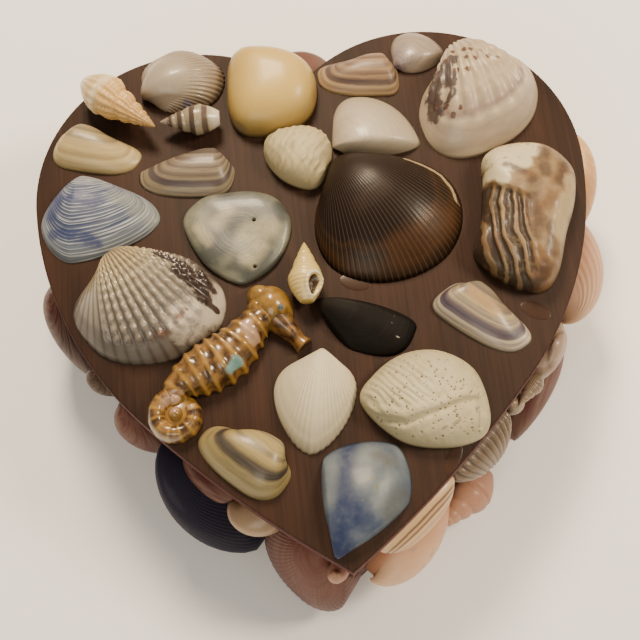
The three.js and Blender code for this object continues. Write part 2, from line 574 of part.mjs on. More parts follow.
function setOnWall(piece, geometry, roughness) {
  const frame = wallFrame(piece);
  const placed = geometry.clone().applyMatrix4(frame);
  const cut = toGeometry(toSolid(placed).subtract(wallSpace));
  cut.applyMatrix4(frame.clone().invert());
  const mesh = addPiece(piece.name, cut, finish(piece.color, roughness));
  frame.decompose(mesh.position, mesh.quaternion, mesh.scale);
}

makeBox();
for (const shell of LID_VALVES) setOnLid(shell, lyingValve(shell), 0.4);
for (const shell of LID_PEBBLES) setOnLid(shell, pebble(shell), 0.7);
for (const shell of LID_WHELKS) setOnLid(shell, whelk(shell), 0.35);
makeSeahorse();
for (const shell of WALL_VALVES) setOnWall(shell, leaningValve(shell), 0.5);
for (const shell of WALL_WHELKS) {
  const lying = whelk({ sides: 8, rings: 9, ...shell }).translate(0, shell.length / 2, GAP);
  setOnWall(shell, lying.rotateZ(THREE.MathUtils.degToRad(shell.turn)), 0.4);
}

export default box;
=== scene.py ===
# %% [markdown]
# # A heart-shaped box set with sea shells
#
# The box is wood, with a lid that lifts off. Sea shells and a glazed pottery seahorse are
# glued on the lid, and more shells lean on the wall all round. Each shell could be sculpted
# by hand. Here each is grown by the rule that real ones follow, so a few sizes are enough
# to shape it, and then it is set where the CAD model has it.

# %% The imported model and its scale
import math

import bpy
import numpy as np
from mathutils import Matrix, Vector


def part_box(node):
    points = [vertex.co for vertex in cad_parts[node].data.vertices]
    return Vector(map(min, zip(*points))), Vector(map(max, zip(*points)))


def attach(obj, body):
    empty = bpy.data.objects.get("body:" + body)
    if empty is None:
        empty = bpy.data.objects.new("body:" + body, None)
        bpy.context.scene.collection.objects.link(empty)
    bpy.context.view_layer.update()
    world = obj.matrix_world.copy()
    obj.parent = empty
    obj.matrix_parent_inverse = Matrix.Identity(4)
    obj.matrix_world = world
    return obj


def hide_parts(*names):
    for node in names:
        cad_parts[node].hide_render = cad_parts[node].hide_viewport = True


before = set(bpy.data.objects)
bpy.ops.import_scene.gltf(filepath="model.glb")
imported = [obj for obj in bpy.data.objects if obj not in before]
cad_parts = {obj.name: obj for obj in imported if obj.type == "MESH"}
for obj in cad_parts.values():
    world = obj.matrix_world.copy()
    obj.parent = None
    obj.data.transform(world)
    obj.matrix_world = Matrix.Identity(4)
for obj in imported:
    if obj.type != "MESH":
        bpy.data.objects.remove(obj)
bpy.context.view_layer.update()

# Shell sizes are in mm on a heart 160 mm wide, as they were measured
LAYOUT_WIDTH = 160
lid_low, lid_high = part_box("lid_board")
MM = (lid_high.x - lid_low.x) / LAYOUT_WIDTH
print("one layout mm is", round(MM * 1000, 4), "mm")
print("the lid's top is at", round(lid_high.z * 1000, 1), "mm")

# %% [markdown]
# ## The camera
# It looks down from the side of the tip, 20 degrees off the vertical, and is turned a
# little, as the photograph was. A camera could track the box, but a fixed place and three
# angles let each shell on the lid meet the place that it has in the photograph.

# %% The camera
SENSOR_WIDTH = 36
LENS = 59.06
CAMERA_SPOT = Vector((-4.49, -110.05, 318.28)) * MM
PITCH, YAW, ROLL = (math.radians(angle) for angle in (20, -1.742, -4.462))

camera_data = bpy.data.cameras.new("camera")
camera_data.sensor_width = SENSOR_WIDTH
camera_data.lens = LENS
camera = bpy.data.objects.new("camera", camera_data)
bpy.context.collection.objects.link(camera)
turned = Matrix.Rotation(YAW, 4, "Z") @ Matrix.Rotation(PITCH, 4, "X") @ Matrix.Rotation(ROLL, 4, "Z")
camera.matrix_world = Matrix.Translation(CAMERA_SPOT) @ turned
bpy.context.scene.camera = camera
print("camera", [round(v, 3) for v in CAMERA_SPOT])

# %% [markdown]
# ## Light and floor
# Three lamps stand round the box: a warm one behind the notch, a warm one on the right and
# a paler one at the tip, and a dim cream room fills the shadows. One large lamp would be
# simpler, but it lays a haze on the stained wood, so they are small. The floor is plain and
# pale, so that the box stands out.

# %% Colours from hex, made linear
def paint(code):
    """An sRGB hex colour as linear RGBA."""
    values = [int(code[i:i + 2], 16) / 255 for i in (1, 3, 5)]
    return [v / 12.92 if v <= 0.04045 else ((v + 0.055) / 1.055) ** 2.4 for v in values] + [1.0]


# %% One function that adds a node with its settings and links
def add(tree, kind, inputs=None, **settings):
    """A shader node. Each input is a value, or another node's output to link."""
    node = tree.nodes.new("ShaderNode" + kind)
    for name, value in settings.items():
        setattr(node, name, value)
    for key, value in (inputs or {}).items():
        socket = node.inputs[key]
        if isinstance(value, bpy.types.NodeSocket):
            tree.links.new(value, socket)
        else:
            socket.default_value = value
    return node


def new_material(name):
    """An empty material and its tree."""
    material = bpy.data.materials.new(name)
    material.use_nodes = True
    tree = material.node_tree
    tree.nodes.clear()
    return material, tree


def plain_material(name, colour, roughness):
    material, tree = new_material(name)
    shader = add(tree, "BsdfPrincipled", {"Base Color": paint(colour), "Roughness": roughness})
    add(tree, "OutputMaterial", {"Surface": shader.outputs["BSDF"]})
    return material


# %% The floor and the lights
FLOOR_SIZE = 3.0
floor_mesh = bpy.data.meshes.new("floor")
half = FLOOR_SIZE / 2
floor_corners = [(-half, -half, 0), (half, -half, 0), (half, half, 0), (-half, half, 0)]
floor_mesh.from_pydata(floor_corners, [], [(0, 1, 2, 3)])
floor = bpy.data.objects.new("floor", floor_mesh)
bpy.context.collection.objects.link(floor)
floor_mesh.materials.append(plain_material("pale_floor", "#fbfcff", 0.9))


# %% Lamps and the light of the room
LIT_SPOT = Vector((0, 0, 0.03))
ROOM_COLOUR = "#f4ebd9"
ROOM_STRENGTH = 0.42


def lamp(name, place, size, power, colour):
    """A square lamp that faces the box. Place and size are in metres, power is in watts."""
    data = bpy.data.lights.new(name, "AREA")
    data.size = size
    data.energy = power
    data.color = paint(colour)[:3]
    light = bpy.data.objects.new(name, data)
    bpy.context.collection.objects.link(light)
    light.location = place
    light.rotation_euler = (LIT_SPOT - Vector(place)).to_track_quat("-Z", "Y").to_euler()
    return light


lights = [
    lamp("back_light", (-0.05, 0.5, 0.62), 0.2, 9.5, "#ffe6c4"),
    lamp("side_light", (0.6, 0.05, 0.6), 0.2, 6, "#ffeaca"),
    lamp("tip_light", (-0.3, -0.7, 0.6), 0.5, 3.4, "#fff2da"),
]
world = bpy.data.worlds.new("room")
bpy.context.scene.world = world
world.use_nodes = True
background = world.node_tree.nodes["Background"]
background.inputs["Color"].default_value = paint(ROOM_COLOUR)
background.inputs["Strength"].default_value = ROOM_STRENGTH
print(len(lights), "lights")

# %% [markdown]
# ## Meshes from rings of points
# Every shell is a stack of closed rings. A modifier could skin a curve in the same way, but
# points that the script works out can also carry numbers for the materials. The mesh keeps
# two for each corner in a UV map: how far round the ring it is, and how grown the shell was
# there, from 0 at the umbo to 1 at the margin. Bands, rays and lines are painted by them.

# %% A mesh from rings
UV_NAME = "growth"


def ring_mesh(name, points, growth, marks=(), close=(True, True)):
    """A mesh over rings of points, shaped (rings, places, 3), with its ends closed or open."""
    rings, places = points.shape[:2]
    index = np.arange(rings * places).reshape(rings, places)
    nearer, further = index[:-1], index[1:]
    quads = np.stack([nearer, np.roll(nearer, -1, 1), np.roll(further, -1, 1), further], -1).reshape(-1, 4)
    step = np.broadcast_to(np.arange(places), (rings - 1, places))
    low, high = (np.broadcast_to(values[:, None], step.shape) for values in (growth[:-1], growth[1:]))
    corners = [(step, low), (step + 1, low), (step + 1, high), (step, high)]
    uv = np.stack([np.stack([s / places, g], -1) for s, g in corners], -2).reshape(-1, 2)
    caps = [ends for ends, wanted in ((index[0][::-1], close[0]), (index[-1], close[1])) if wanted]
    mesh = bpy.data.meshes.new(name)
    mesh.from_pydata(points.reshape(-1, 3).tolist(), [], quads.tolist() + [cap.tolist() for cap in caps])
    layer = mesh.uv_layers.new(name=UV_NAME)
    values = np.zeros((len(layer.data), 2))
    values[:len(uv)] = uv
    layer.data.foreach_set("uv", values.ravel())
    for number, mark in enumerate(marks):
        attribute = mesh.attributes.new("mark_" + str(number), "FLOAT", "POINT")
        attribute.data.foreach_set("value", np.ascontiguousarray(mark, dtype=np.float32).ravel())
    mesh.shade_smooth()
    return mesh


def outward(points):
    """Unit normals of rings of points, away from their middle."""
    along = np.gradient(points, axis=0)
    around = np.roll(points, -1, 1) - np.roll(points, 1, 1)
    normals = np.cross(around, along)
    normals /= np.linalg.norm(normals, axis=2, keepdims=True) + 1e-9
    middle = points.reshape(-1, 3).mean(0)
    facing = np.sum(normals * (points - middle))
    return normals if facing > 0 else -normals


def moved(points, heights):
    return points + outward(points) * heights[..., None]


# %% Smooth wandering values, the same on each run
WAVE_SPREAD = (0.6, 1.6)
WAVE_GAIN = 1.5


def wander(points, size, seed, layers=5):
    """A sum of waves from about -1 to 1, which changes over about the given size in mm."""
    chance = np.random.default_rng(seed)
    total = np.zeros(points.shape[:-1])
    for layer in range(layers):
        direction = chance.normal(size=3)
        direction *= math.pi * chance.uniform(*WAVE_SPREAD) / (size * np.linalg.norm(direction))
        total += np.sin(points @ direction + chance.uniform(0, 2 * math.pi))
    return total / layers * WAVE_GAIN


def between(low, high, values):
    """0 below low, 1 above high and smooth between."""
    share = np.clip((values - low) / (high - low), 0, 1)
    return share * share * (3 - 2 * share)


# %% [markdown]
# ## How a valve grows
# A valve is one half of a clam or a cockle. It grows only at its margin, and keeps its shape
# as it grows. A stretched sphere would come near, but its top has no umbo. So the margin is
# drawn as four quarters of a superellipse, and each older margin is the same line, smaller,
# and turned about the hinge. This is a spiral, so the umbo curls over.

# %% The margin
PLAIN_VALVE = dict(widest=0.55, shoulder=1.8, belly=2.1, skew=0, groove=3, ribs_from=(0, 0.15))
MARGIN_STEPS = 2880


def travel(line):
    """How far along a line each of its points is."""
    return np.concatenate([[0], np.cumsum(np.linalg.norm(np.diff(line, axis=0), axis=1))])


def evenly(line, count):
    """Points at equal steps along a closed line whose last point is its first."""
    travelled = travel(line)
    wanted = np.linspace(0, travelled[-1], count, endpoint=False)
    return np.column_stack([np.interp(wanted, travelled, values) for values in line.T])


def margin(shape, places):
    """The margin seen from above: the umbo at the origin, the belly towards -Y."""
    shape = PLAIN_VALVE | shape
    turn = np.linspace(0, 2 * math.pi, MARGIN_STEPS + 1)
    across, up = np.sin(turn), np.cos(turn)
    power = 2 / np.where(up >= 0, shape["shoulder"], shape["belly"])
    widest, height = shape["widest"], shape["height"]
    half_width = np.where(across >= 0, shape["right"], shape["left"])
    rise = np.where(up >= 0, widest, 1 - widest) * height
    x = np.sign(across) * half_width * np.abs(across) ** power
    y = np.sign(up) * rise * np.abs(up) ** power - widest * height
    return evenly(np.column_stack([x - shape["skew"] * y, y]), places)


# %% The spiral
GROWTH_POWER = 1.25
HINGE_SHARE = 0.05
OLDEST_SHARE = 0.04
LONGEST_TURN = 2.4
LOOSEST, TIGHTEST = 0.05, 20.0
HALVINGS = 40


def shrink(tightness, turn):
    return np.exp(-tightness * turn ** GROWTH_POWER)


def tightness_for(rise_share):
    """How tight the spiral is for a rise, as a share of the valve's height."""
    low, high = LOOSEST, TIGHTEST
    turns = np.arange(0.02, math.pi / 2, 0.02)
    for _ in range(HALVINGS):
        tightness = (low + high) / 2
        if np.max(shrink(tightness, turns) * np.sin(turns)) > rise_share:
            low = tightness
        else:
            high = tightness
    return (low + high) / 2


def grow(shape, places, rings):
    """Rings from the margin to the umbo, and the size of each as a share of the margin."""
    hinge = HINGE_SHARE * shape["height"]
    tightness = tightness_for(shape["rise"] / (shape["height"] + hinge))
    last = min(LONGEST_TURN, (-math.log(OLDEST_SHARE) / tightness) ** (1 / GROWTH_POWER))
    turns = last * np.linspace(0, 1, rings + 1)
    scale = shrink(tightness, turns)[:, None]
    edge = margin(shape, places)
    reach = scale * (hinge - edge[None, :, 1])
    x = scale * edge[None, :, 0]
    y = hinge - reach * np.cos(turns)[:, None]
    z = reach * np.sin(turns)[:, None]
    return np.stack([x, y, z], -1), scale[:, 0]


# %% [markdown]
# ## Relief on a valve
# Ribs run from the umbo to the margin and fade at the hinge. Beads sit along the ribs, and
# growth steps run across them. Bump in a material would be lighter, but a rib of half a
# millimetre shows against the light and throws a shadow, so ribs move the mesh itself.

# %% Ribs, beads and growth steps
# Ribs come in this fast beside the hinge, after a stretch that has none
HINGE_FADE = 7
BARE_HINGE = 0.35
YOUNG_RIBS = 0.25
SPAN_FADE = 0.04
BEAD_START, BEAD_FULL = 0.2, 0.45
STEP_SLOPE, STEP_FACE = 0.03, 0.012
LUMP_SEED = 1


def relief(shape, points, growth):
    """Heights in mm over a valve's rings."""
    shape = PLAIN_VALVE | shape
    places = points.shape[1]
    fan = np.arange(places)[None, :] / places
    size = growth[:, None]
    heights = np.zeros(points.shape[:2])
    if "ribs" in shape:
        fade = np.clip(HINGE_FADE * np.minimum(fan, 1 - fan) - BARE_HINGE, 0, 1)
        ridge = 1 - np.abs(np.cos(math.pi * shape["ribs"] * fan)) ** shape["groove"]
        start, full = shape["ribs_from"]
        strength = between(start, full, size) * (YOUNG_RIBS + (1 - YOUNG_RIBS) * size)
        if "beads" in shape:
            spacing, depth = shape["beads"]
            bead = np.cos(2 * math.pi * size * shape["height"] / spacing)
            ridge = ridge * (1 + depth * bead * between(BEAD_START, BEAD_FULL, size))
        if "rib_span" in shape:
            first, last = shape["rib_span"]
            fade = fade * between(first - SPAN_FADE, first + SPAN_FADE, fan)
            fade = fade * (1 - between(last - SPAN_FADE, last + SPAN_FADE, fan))
        if "smooth_rim" in shape:
            rim = shape["smooth_rim"]
            strength = strength * (1 - between(1 - rim, 1 - 0.6 * rim, size))
        heights += shape["rib_depth"] * ridge * fade * strength
    for at, depth in shape.get("steps", []):
        heights -= depth * between(at - STEP_SLOPE, at, size) * (1 - between(at, at + STEP_FACE, size))
    if "lumps" in shape:
        size_mm, depth = shape["lumps"]
        heights += depth * wander(points, size_mm, LUMP_SEED) * size
    return heights


# %% Placing a piece where the CAD has it
triangles = {}


def finish_piece(name, mesh, material):
    """Links a mesh that stands for the CAD node of the same name, and counts its triangles."""
    piece = bpy.data.objects.new(name + "_look", mesh)
    bpy.context.collection.objects.link(piece)
    mesh.materials.append(material)
    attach(piece, "root")
    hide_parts(name)
    triangles[name] = sum(len(face.vertices) - 2 for face in mesh.polygons)
    print(name, "has", triangles[name], "triangles")
    return piece


def turned_about(points, axis, degrees):
    """Points turned about the X or the Z axis."""
    c, s = math.cos(math.radians(degrees)), math.sin(math.radians(degrees))
    spin = [[1, 0, 0], [0, c, -s], [0, s, c]] if axis == "x" else [[c, -s, 0], [s, c, 0], [0, 0, 1]]
    return points @ np.array(spin).T


def rest_on_lid(name, points, turn=0):
    """Turns points in mm, then moves them to the CAD node's place, down on the lid."""
    low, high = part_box(name)
    placed = turned_about(points, "z", turn) * MM
    flat = placed.reshape(-1, 3)
    shift = (np.array(low) + np.array(high) - flat.min(0) - flat.max(0)) / 2
    shift[2] = lid_high.z - flat[:, 2].min()
    return placed + shift


# %% [markdown]
# ## Wood
# The boards are planed softwood under a reddish-brown stain that has sunk in, so the eye
# sees grain and streaks with a dull sheen, and cut edges that took more of the red. A
# photograph of wood could be wrapped on. Stretched noise does it here, as it has no seams
# and its fibres keep their real width. The frame under the lid is the same wood, unstained.

# %% Painting one colour over another
def painted_over(tree, under, code, mask, low, high, strength=1.0):
    """A hex colour over another one: none where the mask is at low, full strength at high."""
    limits = {"Value": mask, "From Min": low, "From Max": high, "To Max": strength}
    share = add(tree, "MapRange", limits).outputs[0]
    mix = {"Factor": share, "A": under, "B": paint(code)}
    return add(tree, "Mix", mix, data_type="RGBA").outputs["Result"]


# %% The wood's material
# Fibres are about 0.6 mm wide and 40 mm long, and broad streaks are about 14 mm wide
FIBRES_PER_METRE = (1600, 25, 300)
STREAKS_PER_METRE = (70, 14, 60)


def wood_material(name, dark, light, edge, roughness):
    material, tree = new_material(name)
    place = add(tree, "TexCoord").outputs["Object"]
    fibre_place = add(tree, "Mapping", {"Vector": place, "Scale": FIBRES_PER_METRE}).outputs[0]
    fibres = add(tree, "TexNoise", {"Vector": fibre_place, "Scale": 1.0, "Detail": 4.0, "Roughness": 0.6})
    streak_place = add(tree, "Mapping", {"Vector": place, "Scale": STREAKS_PER_METRE}).outputs[0]
    streaks = add(tree, "TexNoise", {"Vector": streak_place, "Scale": 1.0, "Detail": 3.0, "Distortion": 0.8})
    both = add(tree, "Math", {0: fibres.outputs["Fac"], 1: streaks.outputs["Fac"]}, operation="ADD")
    grain = painted_over(tree, paint(dark), light, both.outputs[0], 0.6, 1.4)
    # Faces that don't look up are cut edges
    up = add(tree, "SeparateXYZ", {0: add(tree, "NewGeometry").outputs["Normal"]}).outputs["Z"]
    colour = painted_over(tree, grain, edge, up, 0.8, 0.3)
    bump = add(tree, "Bump", {"Height": fibres.outputs["Fac"], "Strength": 0.15, "Distance": 0.0002})
    shader = add(tree, "BsdfPrincipled", {
        "Base Color": colour, "Roughness": roughness, "Normal": bump.outputs[0],
        "Specular IOR Level": 0.2})
    add(tree, "OutputMaterial", {"Surface": shader.outputs["BSDF"]})
    return material


stained_wood = wood_material("stained_wood", "#1e130d", "#3e281d", "#4a1d1a", 0.6)
bare_wood = wood_material("bare_wood", "#6d4a36", "#96714f", "#7f5d43", 0.7)

# %% [markdown]
# ## The heart
# The base, the wall, the lid and its frame all have the same heart, one inside the other.
# A curve object with a bevel could make them, but arcs keep every inset true. Each half is
# three arcs: the lobe, the flank and the taper to the tip. An inset moves them all inwards
# by the same amount, with one more small arc round the notch.

# %% The heart's outline
HALF = LAYOUT_WIDTH / 2
LOBE_OFFSET = 0.4252 * HALF
LOBE_RADIUS = HALF - LOBE_OFFSET
LOBE_Y = 0.425 * HALF
FLANK_RADIUS = 1.268 * HALF
TAPER_RADIUS = 4.068 * HALF
FLANK_START, TAPER_START = -1.3, -42.7


def arc(centre, radius, start, end, steps):
    angles = np.radians(np.linspace(start, end, steps + 1))
    return centre + radius * np.column_stack([np.cos(angles), np.sin(angles)])


def ray(centre, degrees, distance):
    angle = math.radians(degrees)
    return centre + distance * np.array([math.cos(angle), math.sin(angle)])


def heart_side(inset):
    """The right half of the heart from the notch to the tip, in mm."""
    lobe = np.array([LOBE_OFFSET, LOBE_Y])
    notch_rise = math.sqrt(LOBE_RADIUS ** 2 - LOBE_OFFSET ** 2)
    notch = np.array([0, LOBE_Y + notch_rise])
    notch_angle = math.degrees(math.atan2(notch_rise, LOBE_OFFSET))
    flank = ray(lobe, FLANK_START, LOBE_RADIUS - FLANK_RADIUS)
    taper = ray(flank, TAPER_START, FLANK_RADIUS - TAPER_RADIUS)
    tip_angle = -math.degrees(math.acos(-taper[0] / (TAPER_RADIUS - inset)))
    return np.vstack([
        arc(notch, inset, -90, -notch_angle, 6)[:-1],
        arc(lobe, LOBE_RADIUS - inset, 180 - notch_angle, FLANK_START, 60)[:-1],
        arc(flank, FLANK_RADIUS - inset, FLANK_START, TAPER_START, 20)[:-1],
        arc(taper, TAPER_RADIUS - inset, TAPER_START, tip_angle, 12),
    ])


def heart(inset):
    right = heart_side(max(inset, 0.02))
    return np.vstack([right[::-1], right[1:-1] * [-1, 1]])


# %% Boards and frames with softened edges
EDGE_ROUNDING = 0.7
SHARP_ANGLE = math.radians(50)


def board_rings(low, high, inset, inner=None):
    """Rings round a board, from its lower face to its upper one, and down inside a frame."""
    soft = EDGE_ROUNDING
    steps = [(soft, 0), (0.3 * soft, 0.3 * soft), (0, soft)]
    outside = [(inset + side, low + up) for side, up in steps]
    outside += [(inset + side, high - up) for side, up in reversed(steps)]
    if inner is not None:
        outside += [(inner - side, high - up) for side, up in steps]
        outside += [(inner - side, low + up) for side, up in reversed(steps)]
        outside.append(outside[0])
    return np.array([[(x, y, z) for x, y in heart(across)] for across, z in outside])


def make_board(name, material, inset, inner=None):
    low, high = (corner.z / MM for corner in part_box(name))
    rings = board_rings(low, high, inset, inner)
    closed = inner is None
    mesh = ring_mesh(name, rings * MM, np.linspace(0, 1, len(rings)), close=(closed, closed))
    mesh.set_sharp_from_angle(angle=SHARP_ANGLE)
    return finish_piece(name, mesh, material)


def inset_of(name):
    """How far inside the lid's edge a node's own edge is, in mm."""
    low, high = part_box(name)
    return (lid_high.x - lid_low.x - (high.x - low.x)) / 2 / MM


# %% The four wooden parts
WALL_THICKNESS = 5
RIM_WIDTH = 5
base = make_board("base_board", stained_wood, inset_of("base_board"))
wall = make_board("wall", stained_wood, inset_of("wall"), inset_of("wall") + WALL_THICKNESS)
lid = make_board("lid_board", stained_wood, 0)
rim = make_board("lid_frame", bare_wood, inset_of("lid_frame"), inset_of("lid_frame") + RIM_WIDTH)
print("the wall is", round(inset_of("wall"), 2), "mm inside the lid's edge")

# %% [markdown]
# ## What shells are painted with
# A shell is chalk, laid down in thin sheets, with the colour in its outer one. So the eye
# sees bands that follow the margin, rays that follow the ribs, and a surface between matt
# and glossy, as the sea has worn it. One plain noise would look like stone. One function
# builds all shell materials from the two numbers of the growth. Rays, fine growth lines,
# threads, stains and patches are added where a shell has them. A patch is a stroke on the
# lid's plan: half its width and the places that it joins, in mm.

# %% Strokes of colour
# Where a stroke starts to fade and where it ends, in half widths
STROKE_CORE, STROKE_REACH = 0.2, 1.9


def stroke_marks(x, y, strokes):
    """1 inside the strokes and 0 outside, with a soft edge."""
    marks = np.zeros(x.shape)
    for width, *line in strokes:
        for (ax, ay), (bx, by) in zip(line, line[1:] or line):
            long = max((bx - ax) ** 2 + (by - ay) ** 2, 1e-9)
            share = np.clip(((x - ax) * (bx - ax) + (y - ay) * (by - ay)) / long, 0, 1)
            distance = np.hypot(x - ax - share * (bx - ax), y - ay - share * (by - ay))
            marks = np.maximum(marks, 1 - between(STROKE_CORE, STROKE_REACH, distance / width))
    return marks


# %% Bands from the umbo to the margin
def banded(tree, growth, bands):
    """A colour ramp from the umbo to the margin."""
    ramp = add(tree, "ValToRGB", {"Fac": growth})
    stops = ramp.color_ramp.elements
    while len(stops) > 1:
        stops.remove(stops[-1])
    stops[0].position, stops[0].color = bands[0][0], paint(bands[0][1])
    for at, colour in bands[1:]:
        stops.new(at).color = paint(colour)
    return ramp.outputs["Color"]


# %% Rays from the umbo
RAY_FADE = 0.2


def rayed(tree, colour, fan, growth, rays):
    """Rays are (count, colour, share of width, strength, the growth where they start)."""
    number, ray_colour, width, strength, start = rays
    wave = add(tree, "Math", {0: fan, 1: float(number)}, operation="MULTIPLY").outputs[0]
    fold = add(tree, "Math", {0: wave, 1: 0.5}, operation="PINGPONG").outputs[0]
    begun = add(tree, "MapRange", {"Value": growth, "From Min": start, "From Max": start + RAY_FADE})
    inside = add(tree, "MapRange", {"Value": fold, "From Min": width / 2, "From Max": 0.0})
    share = add(tree, "Math", {0: inside.outputs[0], 1: begun.outputs[0]}, operation="MULTIPLY")
    return painted_over(tree, colour, ray_colour, share.outputs[0], 0.0, 1.0, strength)


# %% Growth lines, and threads along them
LINE_WANDER = 5.0
THREAD_BEND = 2.2
THREAD_EDGE, THREAD_CORE = 0.19, 0.03


def growth_line(tree, fan, growth, number, stretch):
    """Noise that changes slowly round the shell and fast across it."""
    place = add(tree, "CombineXYZ", {
        "X": add(tree, "Math", {0: fan, 1: LINE_WANDER * stretch}, operation="MULTIPLY").outputs[0],
        "Y": add(tree, "Math", {0: growth, 1: number}, operation="MULTIPLY").outputs[0]})
    return add(tree, "TexNoise", {"Vector": place.outputs[0], "Scale": 1.0, "Detail": 3.0}).outputs["Fac"]


def threaded(tree, colour, growth, line, height, threads):
    """Threads are (colour, distance apart in mm, strength). They bend with the growth lines."""
    thread_colour, spacing, strength = threads
    bend = add(tree, "Math", {0: line, 1: THREAD_BEND}, operation="MULTIPLY").outputs[0]
    wave_inputs = {0: growth, 1: height / spacing, 2: bend}
    wave = add(tree, "Math", wave_inputs, operation="MULTIPLY_ADD").outputs[0]
    fold = add(tree, "Math", {0: wave, 1: 0.5}, operation="PINGPONG").outputs[0]
    return painted_over(tree, colour, thread_colour, fold, THREAD_EDGE, THREAD_CORE, strength)


# %% Stains and patches
# A patch's edge wanders over about 3 mm
RAGGED_PER_METRE = 330.0
PATCH_EDGE = 0.32


def stained(tree, colour, place, stain):
    """A stain is (colour, size in mm, and the values of the noise where it starts and is full)."""
    stain_colour, size, low, high = stain
    noise = add(tree, "TexNoise", {"Vector": place, "Scale": 1000 / size, "Detail": 5.0})
    return painted_over(tree, colour, stain_colour, noise.outputs["Fac"], low, high)


def patched(tree, colour, place, number, patch):
    """A patch is (colour, strength, softness), and goes by the mesh's mark of that number."""
    patch_colour, strength, softness = patch
    ragged_inputs = {"Vector": place, "Scale": RAGGED_PER_METRE, "Detail": 5.0, "Roughness": 0.65}
    ragged = add(tree, "TexNoise", ragged_inputs).outputs["Fac"]
    mark = add(tree, "Attribute", attribute_name="mark_" + str(number)).outputs["Fac"]
    mixed = add(tree, "Math", {0: ragged, 1: mark}, operation="MULTIPLY").outputs[0]
    low, high = PATCH_EDGE - softness / 4, PATCH_EDGE + softness / 4
    return painted_over(tree, colour, patch_colour, mixed, low, high, strength)


# %% The material of a shell
# Bands shift with cloudy changes over about 5 mm
CLOUDS_PER_METRE = 200.0


def shell_material(name, bands, height=25, lines=1.2, line_depth=0.25, line_colour="#8b7664", rays=None,
                   threads=None, stain=None, patches=(), wobble=0.05, stretch=1.0, roughness=0.4, coat=0.2,
                   shine=0.5):
    """Lines are that many mm apart, on a shell of that height in mm."""
    material, tree = new_material(name)
    place = add(tree, "TexCoord").outputs["Object"]
    pair = add(tree, "SeparateXYZ", {0: add(tree, "UVMap", uv_map=UV_NAME).outputs[0]})
    fan, growth = pair.outputs["X"], pair.outputs["Y"]
    cloud = add(tree, "TexNoise", {"Vector": place, "Scale": CLOUDS_PER_METRE, "Detail": 3.0})
    shift_inputs = {"Value": cloud.outputs["Fac"], "To Min": -wobble, "To Max": wobble}
    shift = add(tree, "MapRange", shift_inputs).outputs[0]
    bent = add(tree, "Math", {0: growth, 1: shift}, operation="ADD").outputs[0]
    colour = banded(tree, bent, bands)
    line = growth_line(tree, fan, growth, height / lines, stretch)
    if line_depth:
        colour = painted_over(tree, colour, line_colour, line, 0.6, 0.4, line_depth)
    if threads:
        colour = threaded(tree, colour, growth, line, height, threads)
    if rays:
        colour = rayed(tree, colour, fan, growth, rays)
    if stain:
        colour = stained(tree, colour, place, stain)
    for number, patch in enumerate(patches):
        colour = patched(tree, colour, place, number, patch)
    bump = add(tree, "Bump", {"Height": line, "Strength": 0.3, "Distance": 0.0002})
    shader = add(tree, "BsdfPrincipled", {
        "Base Color": colour, "Roughness": roughness, "Specular IOR Level": shine, "Coat Weight": coat,
        "Coat Roughness": 0.12, "Normal": bump.outputs[0]})
    add(tree, "OutputMaterial", {"Surface": shader.outputs["BSDF"]})
    return material


# %% [markdown]
# ## The valves on the lid
# Each of these shells is one valve that lies with its hollow side down. One mesh could be
# bent into all of them, but each real one has its own margin, so each gets its own spiral.
# An entry has the shell's shape as the CAD model has it, then its finer relief, then its
# colours, and last the strokes of its patches. Turn is the direction of the umbo.

# %% One valve on the lid
def domed(edge, crown, rise, flatness, rings):
    """Rings from an edge up to a crown, and the size of each as a share of the edge."""
    share = np.concatenate([[1.0, 0.995], np.linspace(0.985, 0.01, rings - 1)])
    flat = crown + (edge[None] - crown) * share[:, None, None]
    z = rise * (1 - share[:, None] ** flatness) ** (1 / flatness) * np.ones(len(edge))
    return np.concatenate([flat, z[..., None]], -1), share


def smooth_dome(shape, places, rings):
    """A valve whose umbo is worn away, from the same margin."""
    edge = margin(shape, places)
    return domed(edge, edge.mean(0) + np.array(shape["crown"]), shape["rise"], shape["flatness"], rings)


def lid_valve(name, turn, shape, material, fineness=(112, 40), strokes=()):
    """Strokes hold one list for each patch of the material."""
    rings_of = smooth_dome if "crown" in shape else grow
    points, growth = rings_of(shape, *fineness)
    points = moved(points, relief(shape, points, growth))
    points[..., 2] = np.maximum(points[..., 2], 0)
    placed = rest_on_lid(name, points, turn)
    marks = [stroke_marks(placed[..., 0] / MM, placed[..., 1] / MM, item) for item in strokes]
    mesh = ring_mesh(name, placed, growth, marks)
    return finish_piece(name, mesh, material)


# %% How fine a ribbed cockle is: points round its margin, and rings
RIBBED = (352, 66)

# %% The white cockle
lid_valve(
    "lid_white_cockle", 115,
    dict(
        left=9.8, right=11.8, height=23, rise=8.6, widest=0.62, shoulder=3, belly=1.7, skew=-0.17,
        ribs=44, rib_depth=0.26, ribs_from=(0.6, 0.8)),
    shell_material(
        "white_cockle",
        [(0, "#8b8176"), (0.3, "#9a9083"), (0.6, "#9a8e7b"), (0.8, "#8d7e6a"), (1, "#6e5d4a")],
        height=23, rays=(44, "#7b6654", 0.5, 0.5, 0.6), line_depth=0.15,
        # The bluish-grey patch and its stroke along the lower margin are painted shade
        patches=[("#64607a", 0.75, 0.2)]),
    fineness=RIBBED, strokes=[[(2.2, (-33.5, 59.6), (-31, 58.6), (-25.5, 56.4))]])

